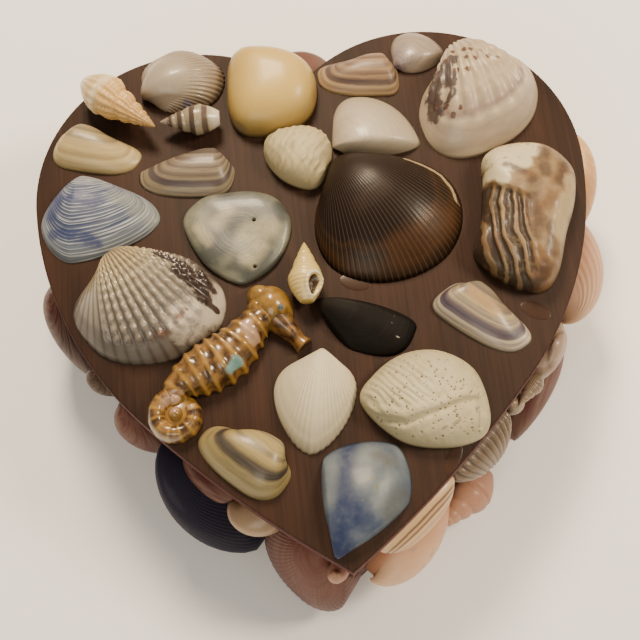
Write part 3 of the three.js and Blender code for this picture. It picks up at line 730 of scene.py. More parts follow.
# %% The knobbed cockle
lid_valve(
    "lid_knobbed_cockle", 17,
    dict(
        left=18.1, right=19.6, height=31.3, rise=13, widest=0.48, shoulder=2.1, belly=2.4, skew=-0.21,
        ribs=17, rib_depth=1.05, groove=2.5, beads=(3.6, 0.3), smooth_rim=0.25, lumps=(7, 0.15),
        rib_span=(0.26, 0.78), steps=[(0.8, 0.3), (0.9, 0.25)]),
    shell_material(
        "knobbed_cockle",
        [(0, "#a69278"), (0.4, "#b09e84"), (0.7, "#b7a58b"), (0.78, "#978377"), (0.82, "#c0ae93"),
         (0.9, "#a3917f"), (1, "#bdab8f")],
        height=31, lines=2.5, line_depth=0.12, roughness=0.42, coat=0.1, threads=("#8f7d70", 3.0, 0.25),
        patches=[("#35272a", 0.9, 0.25), ("#54321f", 0.9, 0.25)]),
    fineness=RIBBED,
    strokes=[[(2.4, (44.4, 60.4), (40.6, 58), (38.6, 52), (38.6, 46)), (2.4, (42.5, 58.5), (43, 53.6)),
              (1.2, (41, 47), (43.5, 50))],
             [(0.95, (45.5, 63.7)), (0.95, (43.4, 61.5)), (1.1, (45.3, 56.5)), (0.95, (48.7, 63.6)),
              (1.1, (48.5, 56.4)), (1, (51.4, 59.8)), (0.95, (55.3, 60.4)), (0.95, (38.8, 47.8)),
              (1, (41.5, 46.8)), (0.95, (42.8, 43.7)), (0.85, (45.1, 45.4)), (0.85, (50.5, 63.5)),
              (0.85, (53.2, 62.4)), (0.85, (58, 59.8)), (0.85, (48.6, 60.4))]])

# %% The beaded cockle
lid_valve(
    "lid_beaded_cockle", 26,
    dict(
        left=21, right=17.9, height=33.7, rise=13, widest=0.54, shoulder=2.9, belly=1.9, skew=0.22,
        ribs=33, rib_depth=0.9, groove=2, beads=(2.2, 0.85), smooth_rim=0.16, rib_span=(0.2, 0.68)),
    shell_material(
        "beaded_cockle",
        [(0, "#bfa76e"), (0.3, "#ae9c74"), (0.6, "#958b7a"), (0.8, "#7f776c"), (0.84, "#655d56"),
         (1, "#5a534c")],
        height=34, roughness=0.33, coat=0.2, line_depth=0.1, rays=(33, "#3f362e", 0.6, 0.85, 0.0),
        patches=[("#bcb1a0", 0.9, 0.5), ("#2a1b17", 0.97, 0.25), ("#6a4029", 0.7, 0.5)]),
    fineness=(429, 84),
    strokes=[[(4.5, (-39, -10), (-32, -6.5), (-29, -2))],
             [(1.7, (-44, 10.4), (-39, 7.8), (-35.4, 4.8)), (2.6, (-38.5, 4.4), (-34, 1), (-32.4, -2.4)),
              (1.4, (-33, 4.4), (-30, -0.6)), (1, (-33, -3), (-29.6, -6))],
             [(0.9, (-45.5, -12.6), (-42.4, -12)), (0.8, (-40.5, -10), (-38.4, -8)), (0.5, (-37, -6.6)),
              (0.5, (-50, 2))]])

# %% The chalk cockle
lid_valve(
    "lid_chalk_cockle", -11,
    dict(
        left=12.1, right=10.3, height=26.8, rise=9, widest=0.37, shoulder=2.2, belly=1.6, skew=-0.03,
        ribs=40, rib_depth=0.2, steps=[(0.75, 0.1), (0.88, 0.12)], rib_span=(0.12, 0.6)),
    shell_material(
        "chalk_cockle", [(0, "#cfc5aa"), (0.6, "#cbc0a5"), (0.9, "#c0b498"), (1, "#a99c82")], height=26,
        roughness=0.75, coat=0.0, line_depth=0.12, line_colour="#a0937a"),
    fineness=RIBBED)

# %% The cream clam
lid_valve(
    "lid_cream_clam", -94,
    dict(
        left=12.8, right=16, height=27, rise=11, widest=0.67, shoulder=2.3, belly=2.9, skew=-0.07,
        crown=(-1.5, 3), flatness=2.5),
    shell_material(
        "cream_clam", [(0, "#c5a75c"), (0.5, "#c5a75c"), (0.85, "#b59852"), (1, "#877040")], height=28,
        lines=3, line_depth=0.05, roughness=0.38, coat=0.06, shine=0.35,
        # The grey-brown patch and its stroke on the lower-left edge are painted shade
        patches=[("#6d5c4a", 0.7, 0.45)]),
    strokes=[[(2.4, (-23.6, 56), (-22.5, 52), (-19, 48.8))]])

# %% The violet clam
lid_valve(
    "lid_violet_clam", 114,
    dict(left=4.6, right=10.2, height=15.2, rise=4.5, widest=0.46, shoulder=2, belly=2.1, skew=-0.11),
    shell_material(
        "violet_clam", [(0, "#8a7c7a"), (0.3, "#948680"), (0.7, "#9c8d79"), (1, "#7d6e60")], height=14,
        lines=0.7, line_depth=0.3, line_colour="#776a68", patches=[("#574a57", 0.8, 0.3)],
        threads=("#6b5d5b", 1.0, 0.4)),
    strokes=[[(2.4, (29.8, 65.6), (32.6, 62.8), (36, 61.6))]])

# %% The blue clam
lid_valve(
    "lid_blue_clam", -5,
    dict(left=10.6, right=24, height=25.2, rise=7.5, widest=0.5, shoulder=1.8, belly=1.6, skew=-0.09),
    shell_material(
        "blue_clam",
        [(0, "#a6a59e"), (0.14, "#6f7482"), (0.3, "#3f4763"), (0.55, "#333d5a"), (0.8, "#39435e"),
         (0.93, "#5e646e"), (1, "#4c5054")],
        height=25, lines=0.9, line_depth=0.3, line_colour="#7d8592", roughness=0.5, coat=0.05,
        stretch=0.6, shine=0.3,
        patches=[("#2d3762", 0.75, 0.6), ("#7c8079", 0.6, 0.8), ("#9a9c9a", 0.3, 0.8)],
        threads=("#bfc3c5", 0.8, 0.7)),
    fineness=(150, 56),
    strokes=[[(2.8, (-72.4, 33), (-74.4, 27.6)), (2.6, (-67, 32), (-61, 30)),
              (1.8, (-74, 22.6), (-62, 18.6))],
             [(3.4, (-50, 28), (-45, 25.4)), (2, (-56, 31), (-50, 30))],
             [(1.8, (-66, 38.4), (-58, 36), (-52, 32.4))]])

# %% The oval clam
lid_valve(
    "lid_oval_clam", 101,
    dict(left=4.5, right=17, height=23.9, rise=6.5, widest=0.43, shoulder=2.1, belly=2.15, skew=-0.23),
    shell_material(
        "oval_clam", [(0, "#a39685"), (0.25, "#b1a48f"), (0.6, "#b9ac96"), (1, "#9c8f7a")], height=24,
        lines=0.8, line_depth=0.3, line_colour="#9c8f80", roughness=0.45, threads=("#978a78", 0.9, 0.5)))

# %% The brown clam
lid_valve(
    "lid_brown_clam", 34,
    dict(
        left=23.4, right=20.2, height=40.8, rise=12, widest=0.53, shoulder=1.8, belly=1.9, skew=0.06,
        ribs=74, rib_depth=0.05),
    shell_material(
        "brown_clam",
        [(0, "#2c1e16"), (0.1, "#1a0f0a"), (0.5, "#170d08"), (0.76, "#160c07"), (0.8, "#2c1a0c"),
         (0.85, "#1c1109"), (0.92, "#352110"), (1, "#1c1107")],
        height=40, lines=3, line_depth=0.15, line_colour="#170e08",
        rays=(74, "#6a5645", 0.3, 0.38, 0.05), roughness=0.42, coat=0.05, shine=0.2,
        patches=[("#9c8d70", 0.95, 0.3), ("#553619", 0.4, 1.0), ("#33261f", 0.4, 0.7)]),
    fineness=(444, 52),
    strokes=[[(0.62, (27.6, 33.6), (33.4, 31), (37.6, 28.4), (40, 24), (41.4, 19))],
             [(4, (22, 5), (30, 9), (36, 14))], [(2.6, (13, 18), (20, 22))]])

# %% How far the bands of a wedge clam wander, less than on other shells
CRISP = 0.012

# %% The brown wedge
lid_valve(
    "lid_brown_wedge", -5,
    dict(left=19.4, right=5.1, height=12.7, rise=5, widest=0.46, shoulder=3, belly=2.8, skew=0.12),
    shell_material(
        "brown_wedge",
        [(0, "#7d6558"), (0.3, "#8c735c"), (0.4, "#66513f"), (0.46, "#937a5e"), (0.56, "#6d5747"),
         (0.62, "#947a5b"), (0.7, "#5f4c40"), (0.74, "#967b5c"), (0.8, "#453837"), (0.85, "#54453d"),
         (0.88, "#a68c68"), (0.94, "#7d654a"), (0.96, "#a08763"), (1, "#957d5b")],
        height=13, lines=0.7, line_depth=0.15, wobble=CRISP, coat=0.04, shine=0.35,
        threads=("#5d4a3f", 0.8, 0.35)))

# %% The yellow wedge
lid_valve(
    "lid_yellow_wedge", -21,
    dict(left=6.5, right=19.5, height=12.9, rise=5.5, widest=0.38, shoulder=2.8, belly=2.6, skew=-0.11),
    shell_material(
        "yellow_wedge",
        [(0, "#85765a"), (0.3, "#8d7e5c"), (0.4, "#6d6048"), (0.44, "#98875f"), (0.56, "#7a6d50"),
         (0.61, "#aa9669"), (0.74, "#b5a06f"), (0.8, "#968358"), (0.84, "#bba776"), (0.93, "#ab9768"),
         (1, "#a38f62")],
        height=13, lines=1.2, line_depth=0.15, wobble=CRISP, coat=0.1, shine=0.4,
        threads=("#7d7050", 0.9, 0.3)))

# %% The grey wedge
lid_valve(
    "lid_grey_wedge", -5,
    dict(left=21.1, right=7.1, height=14.3, rise=5, widest=0.4, shoulder=1.3, belly=2.9, skew=-0.07),
    shell_material(
        "grey_wedge",
        [(0, "#7f776c"), (0.2, "#655c52"), (0.34, "#4d443e"), (0.38, "#7d7160"), (0.48, "#554b44"),
         (0.52, "#8a7c67"), (0.6, "#5c5148"), (0.64, "#887b65"), (0.72, "#574c45"), (0.76, "#82755f"),
         (0.8, "#40383c"), (0.86, "#4a4140"), (0.89, "#85795f"), (0.94, "#6a5f4f"), (0.96, "#8c7f68"),
         (1, "#5d5347")],
        height=14, lines=0.8, roughness=0.38, coat=0.08, line_depth=0.1, wobble=CRISP, shine=0.4,
        threads=("#4b423d", 0.7, 0.4)))

# %% The mussel
lid_valve(
    "lid_mussel", 64,
    dict(left=10.6, right=4, height=27.5, rise=6.5, widest=0.47, shoulder=1.4, belly=3, skew=0.04),
    shell_material(
        "mussel", [(0, "#231e1a"), (0.5, "#12100e"), (1, "#0d0b0a")], height=28, lines=1.0,
        line_depth=0.4, line_colour="#1c1816", roughness=0.6, coat=0.0, shine=0.12,
        patches=[("#9b9488", 0.8, 0.2)]),
    strokes=[[(0.35, (7.2, -8.2)), (0.4, (10.3, -9.5)), (0.35, (18.9, -13.4)), (0.3, (18.1, -15.3)),
              (0.35, (19, -19.1)), (0.3, (14.6, -10.6))]])

# %% The violet wedge
lid_valve(
    "lid_violet_wedge", -44,
    dict(left=6.6, right=20.8, height=13.5, rise=5.5, widest=0.45, shoulder=3, belly=2.8, skew=-0.26),
    shell_material(
        "violet_wedge",
        [(0, "#8b8272"), (0.3, "#7b705e"), (0.38, "#645a4e"), (0.42, "#8f7e60"), (0.54, "#6f645a"),
         (0.58, "#a5946f"), (0.68, "#857a6c"), (0.71, "#a39377"), (0.76, "#5a5056"), (0.81, "#3c3444"),
         (0.86, "#564c52"), (0.88, "#b5aa92"), (0.93, "#8a8074"), (0.95, "#b0a58f"), (1, "#6d645b")],
        height=14, lines=0.9, line_depth=0.08, roughness=0.4, coat=0.15, wobble=CRISP,
        threads=("#5c525a", 0.8, 0.4), patches=[("#b08a52", 0.55, 0.4)]),
    strokes=[[(1.8, (40.6, -9), (46.4, -15.4))]])

# %% The banded wedge
lid_valve(
    "lid_banded_wedge", -40,
    dict(left=18.1, right=8.6, height=13.4, rise=7.5, widest=0.54, shoulder=3, belly=2.3, skew=-0.06),
    shell_material(
        "banded_wedge",
        [(0, "#8b908f"), (0.2, "#7f8482"), (0.28, "#a09269"), (0.36, "#776e58"), (0.4, "#9d8d5d"),
         (0.52, "#938355"), (0.56, "#6c614a"), (0.6, "#988857"), (0.66, "#8f7f52"), (0.71, "#3a352f"),
         (0.78, "#36302a"), (0.82, "#8c7d52"), (0.88, "#7e7049"), (0.9, "#968657"), (1, "#7d6e48")],
        height=15, lines=1.0, line_depth=0.1, wobble=CRISP, coat=0.1, threads=("#5f563f", 0.9, 0.35)))

# %% The blue piece
lid_valve(
    "lid_blue_piece", 146,
    dict(left=10, right=15.4, height=32.2, rise=6.5, widest=0.62, shoulder=1.3, belly=1.5),
    shell_material(
        "blue_piece",
        [(0, "#1f294c"), (0.3, "#283552"), (0.55, "#3a465b"), (0.8, "#4d5864"), (1, "#485260")],
        height=29, lines=1.6, line_depth=0.2, roughness=0.5, coat=0.06, line_colour="#39455c",
        stain=("#69727a", 8, 0.42, 0.72), shine=0.3,
        patches=[("#1c284e", 0.85, 1.0), ("#8d938e", 0.3, 1.0), ("#4a4842", 0.55, 1.0),
                 ("#6f6c44", 0.8, 0.3)]),
    fineness=(140, 48),
    strokes=[[(2.4, (3.4, -46.4), (1.2, -53), (-0.6, -60), (-2.6, -67.6)), (2.6, (-1, -62), (3, -67)),
              (2, (-2.6, -67), (-2.8, -74))],
             [(3.2, (7, -50), (6, -57)), (2.6, (11, -57), (8, -62)), (2, (-3, -54), (-3.8, -60))],
             [(1.8, (9.4, -51), (13, -53)), (2.6, (14, -62), (11, -66))],
             [(0.7, (7.3, -57)), (0.7, (8.6, -59.5)), (0.5, (4.4, -62.4))]])

# %% [markdown]
# ## Worn shells
# These have rolled in the surf and lost their umbo, so no spiral fits them. Sculpting would
# do, but it can't be written down. Here a rounded outline rises to a crown, and each shell
# has a relief of its own, from a short function of x and y.

# %% A smooth line through a few corners
def curved(before, start, end, after, share):
    """The way from start to end, bent by the points before and after them."""
    return 0.5 * (2 * start + (end - before) * share
                  + (2 * before - 5 * start + 4 * end - after) * share ** 2
                  + (3 * start - before - 3 * end + after) * share ** 3)


def closed_curve(corners, count):
    """A closed line in even steps."""
    corners = np.array(corners, float)
    share = np.linspace(0, 1, 24, endpoint=False)[:, None]
    pieces = []
    for i in range(len(corners)):
        nearby = [corners[(i + k) % len(corners)] for k in (-1, 0, 1, 2)]
        pieces.append(curved(*nearby, share))
    line = np.vstack(pieces)
    return evenly(np.vstack([line, line[:1]]), count)


# %% A worn shell
def worn_shell(name, outline, rise, flatness, carve, material, rings=60, places=180, strokes=()):
    """Carve gives heights in mm, and marks of its own, from x and y in mm."""
    edge = closed_curve(outline, places)
    points, share = domed(edge, edge.mean(0), rise, flatness, rings)
    x, y = points[..., 0], points[..., 1]
    heights, own_marks = carve(x, y)
    marks = [stroke_marks(x, y, item) for item in strokes] + own_marks
    points = moved(points, heights * between(1.0, 0.9, share)[:, None])
    points[..., 2] = np.maximum(points[..., 2], 0)
    mesh = ring_mesh(name, rest_on_lid(name, points), share, marks)
    return finish_piece(name, mesh, material)


def plane(x, y):
    return np.stack([x, y, np.zeros_like(x)], -1)


# %% The rough shell, with fine wavy ribs that slant
ROUGH_SPACING = 1.9
ROUGH_HEIGHT = 0.42


def rough_ribs(x, y):
    flat = plane(x, y)
    slanted = 0.86 * x - 0.5 * y + 0.45 * wander(flat, 3, 11)
    ridges = 1 - np.abs(np.sin(math.pi * slanted / ROUGH_SPACING))
    ridges = ridges * between(-1.1, 0.3, wander(flat, 4, 13))
    return ROUGH_HEIGHT * ridges + 0.22 * wander(flat, 1.2, 12, 14), []


worn_shell(
    "lid_rough_shell",
    [(-12.4, 40.6), (-11.2, 46.6), (-4.5, 49.1), (3.4, 48), (7.4, 41.6), (4.2, 32), (-0.6, 29.4),
     (-8, 33.4)],
    rise=8.5, flatness=2.4, carve=rough_ribs,
    material=shell_material(
        "rough_shell", [(0, "#c4b791"), (1, "#a89a75")], line_depth=0.0, roughness=0.75, coat=0.0,
        stain=("#9c8f6c", 3, 0.5, 0.75), shine=0.3),
    rings=68, places=200)


# %% The grey disc, smooth with two small holes
DISC_HOLES = [(-17.0, 20.2), (-17.9, 6.1)]
HOLE_RADII = (0.25, 0.7)


def disc_form(x, y):
    heights = 0.3 * wander(plane(x, y), 12, 21) + 0.04 * wander(plane(x, y), 3, 22)
    holes = np.zeros_like(x)
    for hole_x, hole_y in DISC_HOLES:
        holes = np.maximum(holes, 1 - between(*HOLE_RADII, np.hypot(x - hole_x, y - hole_y)))
    return heights - holes, [holes]


worn_shell(
    "lid_grey_disc",
    [(-37.4, 22.8), (-32, 29.7), (-24, 30.8), (-15.6, 30.2), (-9.2, 26.4), (-6.6, 18), (-11.6, 7.6),
     (-20, 2.2), (-25, 3.2), (-32.8, 10)],
    rise=3.6, flatness=3, carve=disc_form,
    material=shell_material(
        "grey_disc", [(0, "#4a4d48"), (1, "#424540")], line_depth=0.0, roughness=0.42, coat=0.15,
        stain=("#7d7b69", 9, 0.4, 0.7),
        patches=[("#a39a7d", 0.75, 1.0), ("#2f3436", 0.75, 1.0), ("#2b2722", 1.0, 0.2)]),
    places=230, rings=88,
    strokes=[[(3, (-20, 16), (-13, 17.4)), (2.4, (-26.6, 20.6), (-24, 24)), (2.4, (-19.6, 8), (-16, 12)),
              (1.6, (-33, 20), (-30, 15))],
             [(2.4, (-27.7, 13.6), (-22.8, 20)), (2.6, (-24, 27.6), (-14.5, 25.4)),
              (1.4, (-10.6, 24), (-9, 20)), (1.6, (-24, 7), (-21, 5))]])


# %% The pitted shell, with wavy ribs, pits and one groove
PITTED_GROOVE = [
    (8.7, -40.6), (17.5, -44.1), (27.5, -41.9), (34.4, -40), (37.6, -39.6), (38.2, -42.6), (37.4, -46.6)]
PITTED_SPACING = 1.7
PIT_COUNT = 230
PIT_DEPTH = 0.45


def pitted_form(x, y):
    flat = plane(x, y)
    wavy = 0.75 * x + 0.66 * y + 0.6 * wander(flat, 5, 31)
    upper = between(-42, -38, y) * (1 - between(20, 32, x))
    heights = 0.16 * np.sin(2 * math.pi * wavy / PITTED_SPACING) * upper + 0.17 * wander(flat, 1.3, 32, 12)
    heights = heights - 0.9 * stroke_marks(x, y, [(0.7, *PITTED_GROOVE)])
    bank = [(groove_x, groove_y + 2.2) for groove_x, groove_y in PITTED_GROOVE[:4]]
    heights = heights + 0.5 * stroke_marks(x, y, [(0.9, *bank)])
    chance = np.random.default_rng(33)
    pits = np.zeros_like(x)
    for pit_x, pit_y in zip(chance.uniform(9, 40, PIT_COUNT), chance.uniform(-49, -24.5, PIT_COUNT)):
        size = chance.uniform(0.1, 0.34)
        pits = np.maximum(pits, 1 - between(0.5, 1.2, np.hypot(x - pit_x, y - pit_y) / size))
    return heights - PIT_DEPTH * pits, [pits]


worn_shell(
    "lid_pitted_shell",
    [(6.8, -35.6), (11.5, -28.2), (20, -23.6), (30, -24), (38.5, -30.5), (40.8, -42), (38, -48.4),
     (28.5, -50.4), (16, -47)],
    rise=9, flatness=2.6, carve=pitted_form,
    material=shell_material(
        "pitted_shell", [(0, "#c6bc9c"), (1, "#a89d7c")], line_depth=0.0, roughness=0.7, coat=0.0,
        stain=("#ab9e7b", 4, 0.5, 0.8), patches=[("#6f604c", 0.55, 0.4), ("#5b4f3c", 0.65, 0.3)]),
    places=290, rings=105,
    strokes=[[(0.5, (30, -45.8), (31.6, -45)), (0.4, (27, -46.6), (28, -46.2)),
              (0.4, (36.4, -42), (36.4, -43))]])


# %% The banded oyster: a smooth cap with a ledge, curved ridges and a rough foot
OYSTER_CENTRE = (96, 8)
OYSTER_SPACING = 2.9


def oyster_form(x, y):
    flat = plane(x, y)
    heights = 0.25 * wander(flat, 8, 41) + 0.08 * wander(flat, 2.5, 42)
    below_ledge = between(0, 2.4, 0.66 * (56 - x) + (19 - y)) * (1 - between(56.5, 61, x))
    heights = heights - 1.3 * below_ledge * between(8, 18, y)
    curve = np.hypot(x - OYSTER_CENTRE[0], y - OYSTER_CENTRE[1])
    curve = curve + 0.7 * wander(flat, 6, 44) + 0.2 * wander(flat, 2, 45)
    ridge = np.sin(2 * math.pi * curve / OYSTER_SPACING)
    heights = heights + 0.35 * ridge * below_ledge
    foot = 1 - between(-6, 1, y)
    dark = below_ledge * (1 - between(0.3, 0.9, ridge))
    pale = below_ledge * between(0.6, 1, ridge)
    return heights + 0.25 * wander(flat, 1.5, 43, 9) * foot, [dark, 0.62 * pale]


worn_shell(
    "lid_banded_oyster",
    [(50.6, 32.6), (58, 35.6), (68.5, 34), (75.2, 26), (74.2, 16), (70, 6), (65.6, -5.5), (60, -10),
     (51, -6), (43.6, 2.5), (47, 13), (49.2, 24)],
    rise=11, flatness=3, carve=oyster_form,
    material=shell_material(
        "banded_oyster", [(0, "#8c744f"), (0.6, "#8a724f"), (1, "#786244")], line_depth=0.0,
        roughness=0.5, coat=0.1, stain=("#6d4d2c", 8, 0.44, 0.62),
        patches=[("#c9bd9c", 0.95, 0.4), ("#432c1a", 0.8, 0.8), ("#a8946c", 0.8, 0.6),
                 ("#2a1e17", 0.92, 0.5), ("#675c4f", 0.8, 0.5)]),
    places=230, rings=88,
    strokes=[[(3.8, (52, 30.5), (63, 31)), (3, (53.4, 26), (60, 26.4)), (2, (50.6, 24.6), (54, 21.6))],
             [(1.8, (67, 30), (65.6, 26), (65.9, 22)), (2.2, (61.7, 19), (59.6, 12.7)),
              (1.9, (60.4, 11), (61.5, 7.9), (60.2, 3.5)), (1.8, (69, 19), (71.6, 25)),
              (2, (57.8, -9), (61, -5.4)), (1, (55, 26), (59.4, 22.6)), (1.6, (64, 6), (63, -1))],
             [(2.4, (70, 14), (67, 4)), (2, (72.4, 20), (71, 12))]])

# %% [markdown]
# ## Sea snails
# A snail shell is one tube that winds up a cone, each whorl larger than the last. A tube
# could be swept along that spiral, but its whorls would cut through one another. So the
# shell is one turned form, and the line between its whorls is a groove that winds round it.

# %% One sea snail
# Body is the share of the length where the shell is widest. Canal is how wide its lower end
# is. Whorl is how much larger each whorl is than the one before it.
PLAIN_SNAIL = dict(body=0.62, canal=0.25, whorl=1.5, suture=0.16, ribs=0, cords=0)
RIB_SHARE = 0.05
CORD_SHARE = 0.012
LIP_SHARE = 0.09
MOUTH_DEPTH = 0.55


def snail(shape, places=72, rings=140):
    """Rings from the apex at the origin to the mouth at -Y, with the ribs of each whorl."""
    shape = PLAIN_SNAIL | shape
    radius, length = shape["width"] / 2, shape["length"]
    body, canal, whorl = shape["body"], shape["canal"], shape["whorl"]
    share = (0.01 + 0.98 * np.linspace(0, 1, rings))[:, None]
    around = (np.arange(places) / places)[None, :]
    past = np.clip((share - body) / (1 - body), 0, 1)
    lower = canal + (1 - canal) * np.cos(past * math.pi / 2) ** 0.9
    outline = radius * np.where(share < body, (share / body) ** 0.85, lower)
    phase = np.log(share / body) / math.log(whorl) - around
    swell = np.abs(np.sin(math.pi * phase)) ** 0.6
    dent = shape["suture"] * (1 - swell) * (1 - between(body, body + 0.08, share))
    distance = 1 - dent
    if shape["ribs"]:
        distance = distance + RIB_SHARE * np.cos(2 * math.pi * shape["ribs"] * around) * swell
    if shape["cords"]:
        distance = distance + CORD_SHARE * np.cos(2 * math.pi * shape["cords"] * share)
    distance = outline * distance
    marks = []
    if "mouth" in shape:
        at, angle, long, wide = shape["mouth"]
        turn = (around - angle / 360 + 0.5) % 1 - 0.5
        spread = np.hypot((share - at) / long, turn / wide)
        lip = np.exp(-((spread - 1.1) / 0.22) ** 2)
        distance = distance * (1 + LIP_SHARE * lip - MOUTH_DEPTH * (1 - between(0.5, 1.0, spread)))
        marks = [1 - between(0.75, 1.0, spread), lip]
    angle = 2 * math.pi * around
    x, z = distance * np.cos(angle), radius + distance * np.sin(angle)
    y = -share * length * np.ones_like(angle)
    return np.stack([x, y, z], -1), share[:, 0], marks


def lid_snail(name, turn, shape, material):
    points, share, marks = snail(shape)
    mesh = ring_mesh(name, rest_on_lid(name, points, turn), share, marks)
    return finish_piece(name, mesh, material)


# %% The tan whelk
lid_snail(
    "lid_tan_whelk", -131,
    dict(length=27, width=12.4, whorl=1.5, body=0.66, canal=0.3, ribs=15, cords=26),
    shell_material(
        "tan_whelk",
        [(0, "#a0793f"), (0.5, "#c99c58"), (0.66, "#cfa562"), (0.72, "#ddd0b2"), (0.8, "#c9aa72"),
         (0.92, "#d2bb8c"), (0.95, "#ddd6ca"), (1, "#ddd6ca")],
        rays=(15, "#d8b678", 0.5, 0.8, 0.0), roughness=0.4, line_depth=0.15))

# %% The striped whelk
lid_snail(
    "lid_striped_whelk", 88,
    dict(length=18, width=9.2, whorl=1.6, body=0.6, canal=0.4, suture=0.12),
    shell_material(
        "striped_whelk",
        [(0, "#8d8174"), (0.13, "#887b6c"), (0.15, "#51423a"), (0.2, "#51423a"), (0.22, "#8f826c"),
         (0.3, "#8f826c"), (0.32, "#4c3d33"), (0.38, "#4c3d33"), (0.4, "#93866f"), (0.5, "#93866f"),
         (0.52, "#4c3d33"), (0.59, "#4c3d33"), (0.61, "#93866f"), (0.7, "#93866f"), (0.72, "#55463b"),
         (0.79, "#55463b"), (0.81, "#a09379"), (0.9, "#c6bda9"), (1, "#c6bfae")],
        roughness=0.3, coat=0.35, line_depth=0.0, wobble=0.03))

# %% The yellow whelk
lid_snail(
    "lid_yellow_whelk", -3,
    dict(
        length=18, width=10, whorl=1.8, body=0.6, canal=0.35, suture=0.09, cords=16,
        mouth=(0.77, 52, 0.17, 0.085)),
    shell_material(
        "yellow_whelk", [(0, "#c2a95f"), (0.5, "#cfb76e"), (1, "#c6b076")], roughness=0.35, coat=0.35,
        line_depth=0.1, patches=[("#4a3422", 1.0, 0.15), ("#d3c8aa", 0.95, 0.2)]))

# %% [markdown]
# ## The seahorse
# A small piece of pottery, pressed in a mould with a flat back and dipped in amber glaze.
# Its body has raised rings and its tail winds into a coil. A sculpted mesh would do, but
# sweeps along a few steps and low bosses keep the rings even. The parts overlap, as the
# glaze joins them anyway.

# %% A flat-backed sweep with raised rings
RING_SHARPNESS = 1.4


def swept(steps, places=24, per_step=24, rings_mm=None, ring_height=0.1, spines=0.0):
    """Steps are (x, y, half width, height) in mm. The marks are 1 on the raised rings."""
    steps = np.array(steps, float)
    at = np.linspace(0, len(steps) - 1, (len(steps) - 1) * per_step + 1)
    low = np.minimum(at.astype(int), len(steps) - 2)
    nearby = [steps[np.clip(low + k, 0, len(steps) - 1)] for k in (-1, 0, 1, 2)]
    line = curved(*nearby, (at - low)[:, None])
    along = np.gradient(line[:, :2], axis=0)
    along /= np.linalg.norm(along, axis=1, keepdims=True)
    ridge = np.zeros(len(line))
    if rings_mm:
        ridge = ((1 + np.cos(2 * math.pi * travel(line[:, :2]) / rings_mm)) / 2) ** RING_SHARPNESS
    angle = np.linspace(0, math.pi, places)[None, :]
    knobs = ring_height * (0.6 + 0.4 * np.cos(6 * angle)) + spines * np.abs(np.cos(angle)) ** 3
    swell = 1 - 0.5 * ring_height + knobs * ridge[:, None]
    across = line[:, 2:3] * swell * np.cos(angle)
    up = line[:, 3:4] * swell * np.sin(angle) ** 0.8
    x = line[:, 0:1] - along[:, 1:2] * across
    y = line[:, 1:2] + along[:, 0:1] * across
    return np.stack([x, y, up], -1), np.broadcast_to(ridge[:, None], x.shape)


def boss(x, y, across, along, turn, top, base=0.0, rings=16, places=40):
    """A low round boss, from its half widths and the heights of its top and its base."""
    share = np.linspace(0, 1, rings)[:, None]
    angle = np.linspace(0, 2 * math.pi, places, endpoint=False)[None, :]
    wide = across * np.cos(share * math.pi / 2) * np.cos(angle)
    deep = along * np.cos(share * math.pi / 2) * np.sin(angle)
    up = (top - base) * np.sin(share * math.pi / 2) * np.ones_like(angle)
    return turned_about(np.stack([wide, deep, up], -1), "z", turn) + [x, y, base]


# %% The seahorse's body, tail and snout
SEAHORSE_BODY = [
    (-16.2, -8.6, 3.8, 7), (-19.4, -10.6, 4.5, 7.4), (-22.8, -14, 5.6, 8), (-26.4, -17.6, 6.7, 8.6),
    (-30.8, -20.4, 7.1, 8.8), (-35.6, -22.6, 6.5, 8.4), (-40.4, -25.2, 4.6, 7.2),
]
COIL = dict(x=-42.4, y=-34, radius=5.4, end=4.6, start=105, stop=385, half_width=2.9, height=6)
SNOUT = [(-12.6, -10, 4, 7), (-9.8, -13.6, 2.8, 5.6), (-7.9, -16.4, 2.2, 4.8), (-6.5, -18.2, 2.9, 5)]
EYE = (-11.7, -8.6)


def coil_steps(coil, count=12):
    share = np.linspace(0, 1, count)
    angle = np.radians(coil["start"] + (coil["stop"] - coil["start"]) * share)
    distance = coil["radius"] + (coil["end"] - coil["radius"]) * share
    taper = 1 - 0.25 * share
    return np.column_stack([coil["x"] + distance * np.cos(angle), coil["y"] + distance * np.sin(angle),
                            coil["half_width"] * taper, coil["height"] * taper])


tail = coil_steps(COIL)
sweeps = [
    swept(SEAHORSE_BODY + [tuple(tail[0])], rings_mm=3.6, ring_height=0.07, spines=0.08),
    swept(tail, rings_mm=2.6, ring_height=0.03, per_step=18),
    swept(SNOUT),
]

# %% The seahorse's coil, head, crest, cheek and eye
BOSSES = [
    (COIL["x"], COIL["y"], 6.6, 6.6, 0, 3.6), (COIL["x"], COIL["y"], 2.6, 2.6, 0, 5.4),
    (-42.6, -29.6, 3, 2.8, 0, 5.4),
    (-14.2, -6.2, 5.6, 6.6, 20, 8.4), (-16.9, -3, 4.4, 3.6, -35, 6.6), (-18.2, -6.2, 3.2, 3.2, 0, 6.2),
    (*EYE, 1.7, 1.7, 0, 8.2, 5), (*EYE, 1, 1, 0, 8.8, 5),
]
bosses = [boss(*numbers) for numbers in BOSSES]
print("the seahorse has", len(sweeps) + len(bosses), "overlapping parts")


# %% [markdown]
# ## Amber glaze
# A glaze is coloured glass, melted on in the kiln. It is dark where it lies thick in the
# hollows and gold where it thins over the rings, and it is glossy all over. A clear layer
# over brown would be truer, but a colour that goes by the rings looks the same at this size.

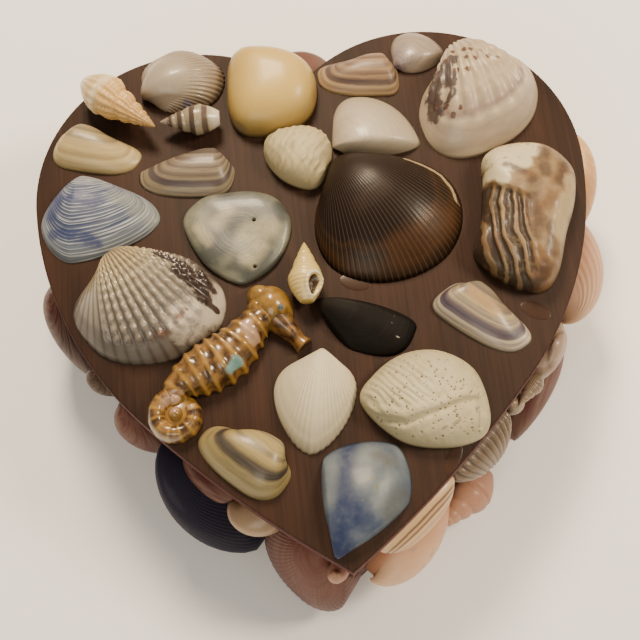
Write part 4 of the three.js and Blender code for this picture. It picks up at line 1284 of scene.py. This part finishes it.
# %% The glaze's material
def glaze_material():
    material, tree = new_material("amber_glaze")
    place = add(tree, "TexCoord").outputs["Object"]
    marks = [add(tree, "Attribute", attribute_name="mark_" + str(i)).outputs["Fac"] for i in range(4)]
    ridge, teal, painted_highlight, eye = marks
    # Cloudy changes over about 3 mm, where the glaze ran thick and thin
    cloud = add(tree, "TexNoise", {"Vector": place, "Scale": 300.0, "Detail": 3.0}).outputs["Fac"]
    thick = painted_over(tree, paint("#3a230f"), "#83602f", cloud, 0.38, 0.62)
    colour = painted_over(tree, thick, "#b08838", ridge, 0.5, 1.0, 0.5)
    # Pale patches at the neck and on the coil are painted highlights, and one spot is teal
    for mark, code, strength in ((painted_highlight, "#b08f78", 0.75), (teal, "#6f9a98", 0.9), (eye, "#59646a", 1.0)):
        ragged = add(tree, "Math", {0: mark, 1: cloud}, operation="ADD").outputs[0]
        colour = painted_over(tree, colour, code, ragged, 0.75, 1.15, strength)
    shader = add(tree, "BsdfPrincipled", {
        "Base Color": colour, "Roughness": 0.28, "Coat Weight": 0.5, "Coat Roughness": 0.1})
    add(tree, "OutputMaterial", {"Surface": shader.outputs["BSDF"]})
    return material


# %% Joining meshes
def joined(name, meshes):
    """One mesh out of several."""
    objects = [bpy.data.objects.new(name, mesh) for mesh in meshes]
    for item in objects:
        bpy.context.collection.objects.link(item)
    bpy.ops.object.select_all(action="DESELECT")
    for item in objects:
        item.select_set(True)
    bpy.context.view_layer.objects.active = objects[0]
    bpy.ops.object.join()
    mesh = objects[0].data
    bpy.data.objects.remove(objects[0])
    return mesh


# %% The seahorse
BOSS_RIDGE = 0.85


def glazed(points, ridge):
    """A part of the seahorse with its marks: ridge, teal, painted highlight and eye."""
    x, y, z = (points[..., axis] for axis in range(3))
    teal = stroke_marks(x, y, [(1.4, (-24.6, -22.4), (-26.4, -24.4))])
    # Painted highlights on the tops of the neck and the coil
    painted_highlight = stroke_marks(x, y, [(1.5, (-21.4, -12.4), (-19.4, -16.4)), (2.6, (-42.6, -31.4), (-39.4, -31))])
    eye = (z > 7.4) * (1 - between(0.7, 1.0, np.hypot(x - EYE[0], y - EYE[1])))
    marks = [ridge, teal * between(4, 6, z), painted_highlight * between(3, 5, z), eye]
    return ring_mesh("glazed", points * MM, np.linspace(0, 1, len(points)), marks)


meshes = [glazed(points, ridge) for points, ridge in sweeps]
meshes += [glazed(points, np.full(points.shape[:2], BOSS_RIDGE)) for points in bosses]
seahorse_mesh = joined("seahorse", meshes)
seahorse_mesh.transform(Matrix.Translation((0, 0, lid_high.z)))
seahorse = finish_piece("lid_seahorse", seahorse_mesh, glaze_material())

# %% [markdown]
# ## Shells on the wall
# Clams, cockles and two snails lean on the wall, most of them with the hollow side in. They
# could be placed one by one in space, but then none would sit true on the curve. So each
# stands in a frame of its own on the wall: X along the wall, Y up and Z outwards. How high
# its middle is goes by the wall's height, as in the CAD model.

# %% A frame on the wall
wall_low, wall_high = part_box("wall")
wall_line = heart_side(inset_of("wall"))
wall_travel = travel(wall_line)
WALL_RUN = 250
HALF_STEP = 0.25
RIGHT, LEFT = 1, -1


def wall_spot(along):
    """The point on the wall's right side that far from the notch, on a wall that is 250 long."""
    wanted = np.clip(along / WALL_RUN * wall_travel[-1], 0, wall_travel[-1])
    return np.array([np.interp(wanted, wall_travel, wall_line[:, axis]) for axis in (0, 1)])


def set_on_wall(points, side, along, up):
    """Moves points in mm from the wall's frame to where they go on the wall."""
    step = wall_spot(along + HALF_STEP) - wall_spot(along - HALF_STEP)
    outwards = np.array([-step[1] * side, step[0], 0]) / math.hypot(*step)
    upwards = np.array([0.0, 0.0, 1.0])
    x, y = wall_spot(along)
    height = wall_low.z + up * (wall_high.z - wall_low.z)
    axes = np.array([np.cross(upwards, outwards), upwards, outwards])
    return points @ axes * MM + [side * x * MM, y * MM, height]


# %% One valve on the wall
SEAT_DEPTH = 2.5


def wall_valve(name, side, along, up, shape, material, turn=0, lean=0, out=0, fineness=(92, 30)):
    """Along is how far from the notch it stands and up is its middle's share of the wall's height.

    Turn and lean are in degrees, and out is how far it stands off, in mm. A skirt runs from its
    margin into the wall.
    """
    points, growth = grow(shape, *fineness)
    points = moved(points, relief(shape, points, growth))
    points = points + np.array([0, shape["height"] / 2, 0])
    points = turned_about(turned_about(points, "z", turn), "x", -lean) + np.array([0, 0, out])
    seat = points[0].copy()
    seat[:, 2] = np.minimum(seat[:, 2], 0) - SEAT_DEPTH
    points = np.concatenate([seat[None], points])
    mesh = ring_mesh(name, set_on_wall(points, side, along, up), np.concatenate([[1.0], growth]))
    return finish_piece(name, mesh, material)


# %% Colours of the shells on the wall
DULL = dict(lines=1.6, coat=0.0, shine=0.2)
DARK = dict(lines=1.6, coat=0.0, shine=0.15)

pink_ribbed = shell_material(
    "pink_ribbed", [(0, "#6e443c"), (0.6, "#5e332b"), (1, "#4c2723")],
    rays=(44, "#48261f", 0.5, 0.4, 0.2), line_depth=0.15, coat=0.0, shine=0.2)
rose_smooth = shell_material(
    "rose_smooth", [(0, "#b78d74"), (0.7, "#ad7f6a"), (1, "#946554")], lines=1.6, coat=0.05, shine=0.25,
    line_depth=0.2)
pale_pink = shell_material(
    "pale_pink", [(0, "#dcb896"), (0.6, "#d2a787"), (1, "#ba8466")], lines=3, coat=0.05, shine=0.25,
    line_depth=0.08, stain=("#8f8a86", 6, 0.6, 0.72))
peach_smooth = shell_material(
    "peach_smooth", [(0, "#deb07a"), (0.6, "#d0a06c"), (1, "#b98459")], lines=1.8, coat=0.05, shine=0.3)
tan_banded = shell_material(
    "tan_banded", [(0, "#6f5342"), (0.4, "#93735a"), (0.7, "#a88a68"), (1, "#9c7f62")])
tan_striped = shell_material(
    "tan_striped",
    [(0, "#8c6c4e"), (0.5, "#a07c58"), (0.6, "#5a4034"), (0.68, "#d3ac7d"), (0.8, "#b48f66"),
     (0.84, "#dab486"), (0.88, "#6a4b39"), (0.905, "#d6b081"), (0.94, "#5e4234"), (0.955, "#d0aa7c"),
     (1, "#dcb98d")],
    wobble=CRISP, height=9, line_depth=0.1)
dusky_pink = shell_material("dusky_pink", [(0, "#8f6d62"), (0.6, "#7d5a51"), (1, "#674740")], **DULL)
deep_red = shell_material("deep_red", [(0, "#4a2624"), (0.6, "#35171a"), (1, "#2a1114")], **DARK)
faded_red = shell_material("faded_red", [(0, "#6b4038"), (0.6, "#5b312b"), (1, "#482420")], **DARK)
dark_brown = shell_material("dark_brown", [(0, "#4a3429"), (1, "#33221b")], **DARK)
blue_black = shell_material(
    "blue_black", [(0, "#241f30"), (0.5, "#1d1a2b"), (1, "#1a1624")], lines=1.2, coat=0.05,
    rays=(60, "#34334c", 0.4, 0.8, 0.0), line_colour="#121016", roughness=0.55, shine=0.15)
cream_striped = shell_material(
    "cream_striped",
    [(0, "#8f7666"), (0.35, "#a9927e"), (0.5, "#836a59"), (0.7, "#a38b75"), (1, "#866c5b")])
grey_fan = shell_material(
    "grey_fan", [(0, "#a18b73"), (0.6, "#8a7660"), (1, "#6d5b49")], rays=(26, "#40332a", 0.5, 0.8, 0.0))

# %% Right of the wall, behind the lobe
# The cockles that can't be seen from the front are alike
COCKLE = dict(height=28, rise=6.5, ribs=22, rib_depth=0.4)
COCKLE_MESH = (176, 34)

wall_valve(
    "side_back_cockle", RIGHT, 31, 0.441,
    dict(COCKLE, left=11.4, right=11.4),
    rose_smooth, turn=-8, fineness=COCKLE_MESH)
wall_valve(
    "side_back_clam", RIGHT, 55.5, 0.441,
    dict(left=10.5, right=10, height=25, rise=6.5),
    tan_banded, turn=30)
wall_valve(
    "side_lobe_cockle", RIGHT, 80, 0.471,
    dict(COCKLE, left=11, right=11),
    pink_ribbed, turn=172, fineness=COCKLE_MESH)

# %% Right of the wall, by the lobe
wall_valve(
    "side_orange_clam", RIGHT, 104.8, 0.47,
    dict(left=13.5, right=13.7, height=27.7, rise=9.4, skew=-0.24),
    peach_smooth, turn=-31, lean=4, out=1.3)
wall_valve(
    "side_pink_cockle", RIGHT, 133.3, 0.41,
    dict(
        left=14, right=14, height=29.8, rise=11.7, skew=0.36, ribs=30, rib_depth=0.25,
        rib_span=(0.25, 0.75)),
    pale_pink, turn=114, lean=5, out=0.2, fineness=(240, 40))
wall_valve(
    "side_striped_clam", RIGHT, 164.9, 0.73,
    dict(left=10.9, right=9.9, height=11.9, rise=5, skew=-0.17),
    cream_striped, turn=4, out=1.4)
wall_valve(
    "side_red_clam", RIGHT, 165.2, 0.26,
    dict(left=17.1, right=19.4, height=22, rise=4.4, skew=0.32),
    faded_red, turn=205, lean=8, out=4)

# %% Right of the wall, towards the tip
wall_valve(
    "side_grey_clam", RIGHT, 184.2, 0.71,
    dict(left=4.6, right=4.6, height=10, rise=4.5),
    grey_fan, turn=20)
wall_valve(
    "side_fan_cockle", RIGHT, 200.4, 0.75,
    dict(left=11.8, right=12.4, height=12.6, rise=5.8, skew=-0.03, ribs=26, rib_depth=0.6),
    grey_fan, turn=179, out=1.6, fineness=(208, 34))
wall_valve(
    "side_tan_wedge", RIGHT, 228.2, 0.85,
    dict(left=15.4, right=12.9, height=8.4, rise=5.1, shoulder=1.6),
    tan_striped, turn=181, out=1.2)
wall_valve(
    "side_smooth_clam", RIGHT, 231.2, 0.255,
    dict(left=11.5, right=11.4, height=29, rise=8.8, skew=0.26),
    pale_pink, turn=74, lean=6, out=3.2)

# %% Left of the wall, by the tip
wall_valve(
    "side_tip_cockle", LEFT, 246.6, 0.853,
    dict(left=2.8, right=2.8, height=6, rise=3.4),
    rose_smooth, out=2)
wall_valve(
    "side_tip_scallop", LEFT, 234.6, 0.47,
    dict(left=17, right=12.3, height=32.2, rise=6.7, skew=0.33, ribs=44, rib_depth=0.12),
    pink_ribbed, turn=-17, lean=22, out=3.5, fineness=(308, 40))
wall_valve(
    "side_round_shell", LEFT, 221.2, 0.835,
    dict(left=5, right=5, height=13, rise=7, widest=0.5),
    tan_banded, turn=90)
wall_valve(
    "side_dark_mussel", LEFT, 206, 0.385,
    dict(left=8.2, right=8.6, height=42.1, rise=13, belly=2.4, skew=-0.11),
    blue_black, turn=55, lean=18, out=2.1)
wall_valve(
    "side_red_wedge", LEFT, 203.6, 0.86,
    dict(left=9.1, right=12.2, height=7.8, rise=5, shoulder=1.6, skew=-0.34),
    faded_red, turn=192, out=-0.5)

# %% Left of the wall, along the flank
wall_valve(
    "side_rose_clam", LEFT, 175.3, 0.5,
    dict(left=8.4, right=9.9, height=26.1, rise=6.7),
    faded_red, turn=14, out=0.4)
wall_valve(
    "side_brown_clam", LEFT, 159.8, 0.72,
    dict(left=5.8, right=5.8, height=14, rise=5.2),
    dark_brown, turn=4)
wall_valve(
    "side_dark_red_clam", LEFT, 136.4, 0.46,
    dict(left=16, right=17.9, height=30.6, rise=7.2),
    deep_red, turn=14, out=1.4)

# %% Left of the wall, from the lobe to the notch
wall_valve(
    "side_flank_cockle", LEFT, 108.3, 0.459,
    dict(COCKLE, left=11.2, right=11.2, rise=7),
    pink_ribbed, turn=176, fineness=COCKLE_MESH)
wall_valve(
    "side_flank_clam", LEFT, 85.4, 0.459,
    dict(left=11, right=11, height=27, rise=7),
    rose_smooth, turn=-14)
wall_valve(
    "side_rear_cockle", LEFT, 62.3, 0.459,
    dict(COCKLE, left=11, right=11),
    pink_ribbed, turn=10, fineness=COCKLE_MESH)
wall_valve(
    "side_rear_clam", LEFT, 40.6, 0.459,
    dict(left=10.6, right=10.6, height=27, rise=6.5),
    tan_banded, turn=168)
wall_valve(
    "side_notch_clam", LEFT, 0, 0.512,
    dict(left=9.4, right=12.4, height=32, rise=11.5),
    dusky_pink, turn=170, lean=-16, out=14)


# %% Snails on the wall
def wall_snail(name, side, along, up, turn, shape, material):
    points, share, marks = snail(shape, places=48, rings=90)
    points = turned_about(points + np.array([0, shape["length"] / 2, 0.3]), "z", turn)
    mesh = ring_mesh(name, set_on_wall(points, side, along, up), share, marks)
    return finish_piece(name, mesh, material)


wall_snail("side_spotted_whelk", RIGHT, 180, 0.865, 84, dict(length=12, width=5.6, cords=10), grey_fan)
wall_snail("side_pink_whelk", RIGHT, 211.4, 0.194, 72, dict(length=26, width=12.6), rose_smooth)

# %% [markdown]
# ## Clear glue
# Hot glue was pressed out beside some shells and set in low, glossy blobs. Clear glue could
# be real glass to the light. At this size it only darkens the wood, so each blob is a low
# boss in the colour that the wood has through it.

# %% The glue
GLUE_BLOBS = [(9.4, -0.6, 4.4, 2.4, -20), (29.4, -53.4, 4.6, 1.8, 58), (58, -14.6, 4.4, 2.4, -30)]
GLUE_HEIGHT = 0.2


def glue_material():
    material, tree = new_material("clear_glue")
    shader = add(tree, "BsdfPrincipled", {
        "Base Color": paint("#3a281e"), "Roughness": 0.3, "Specular IOR Level": 0.25})
    add(tree, "OutputMaterial", {"Surface": shader.outputs["BSDF"]})
    return material


blobs = [boss(*numbers, GLUE_HEIGHT) for numbers in GLUE_BLOBS]
glue_mesh = joined("glue", [ring_mesh("blob", blob * MM, np.linspace(0, 1, len(blob))) for blob in blobs])
glue_mesh.transform(Matrix.Translation((0, 0, lid_high.z)))
glue_mesh.materials.append(glue_material())
glue = bpy.data.objects.new("clear_glue", glue_mesh)
bpy.context.collection.objects.link(glue)
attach(glue, "root")

# %% How large it all is
largest = max(triangles, key=triangles.get)
print(sum(triangles.values()), "triangles in all, and", triangles[largest], "in", largest)
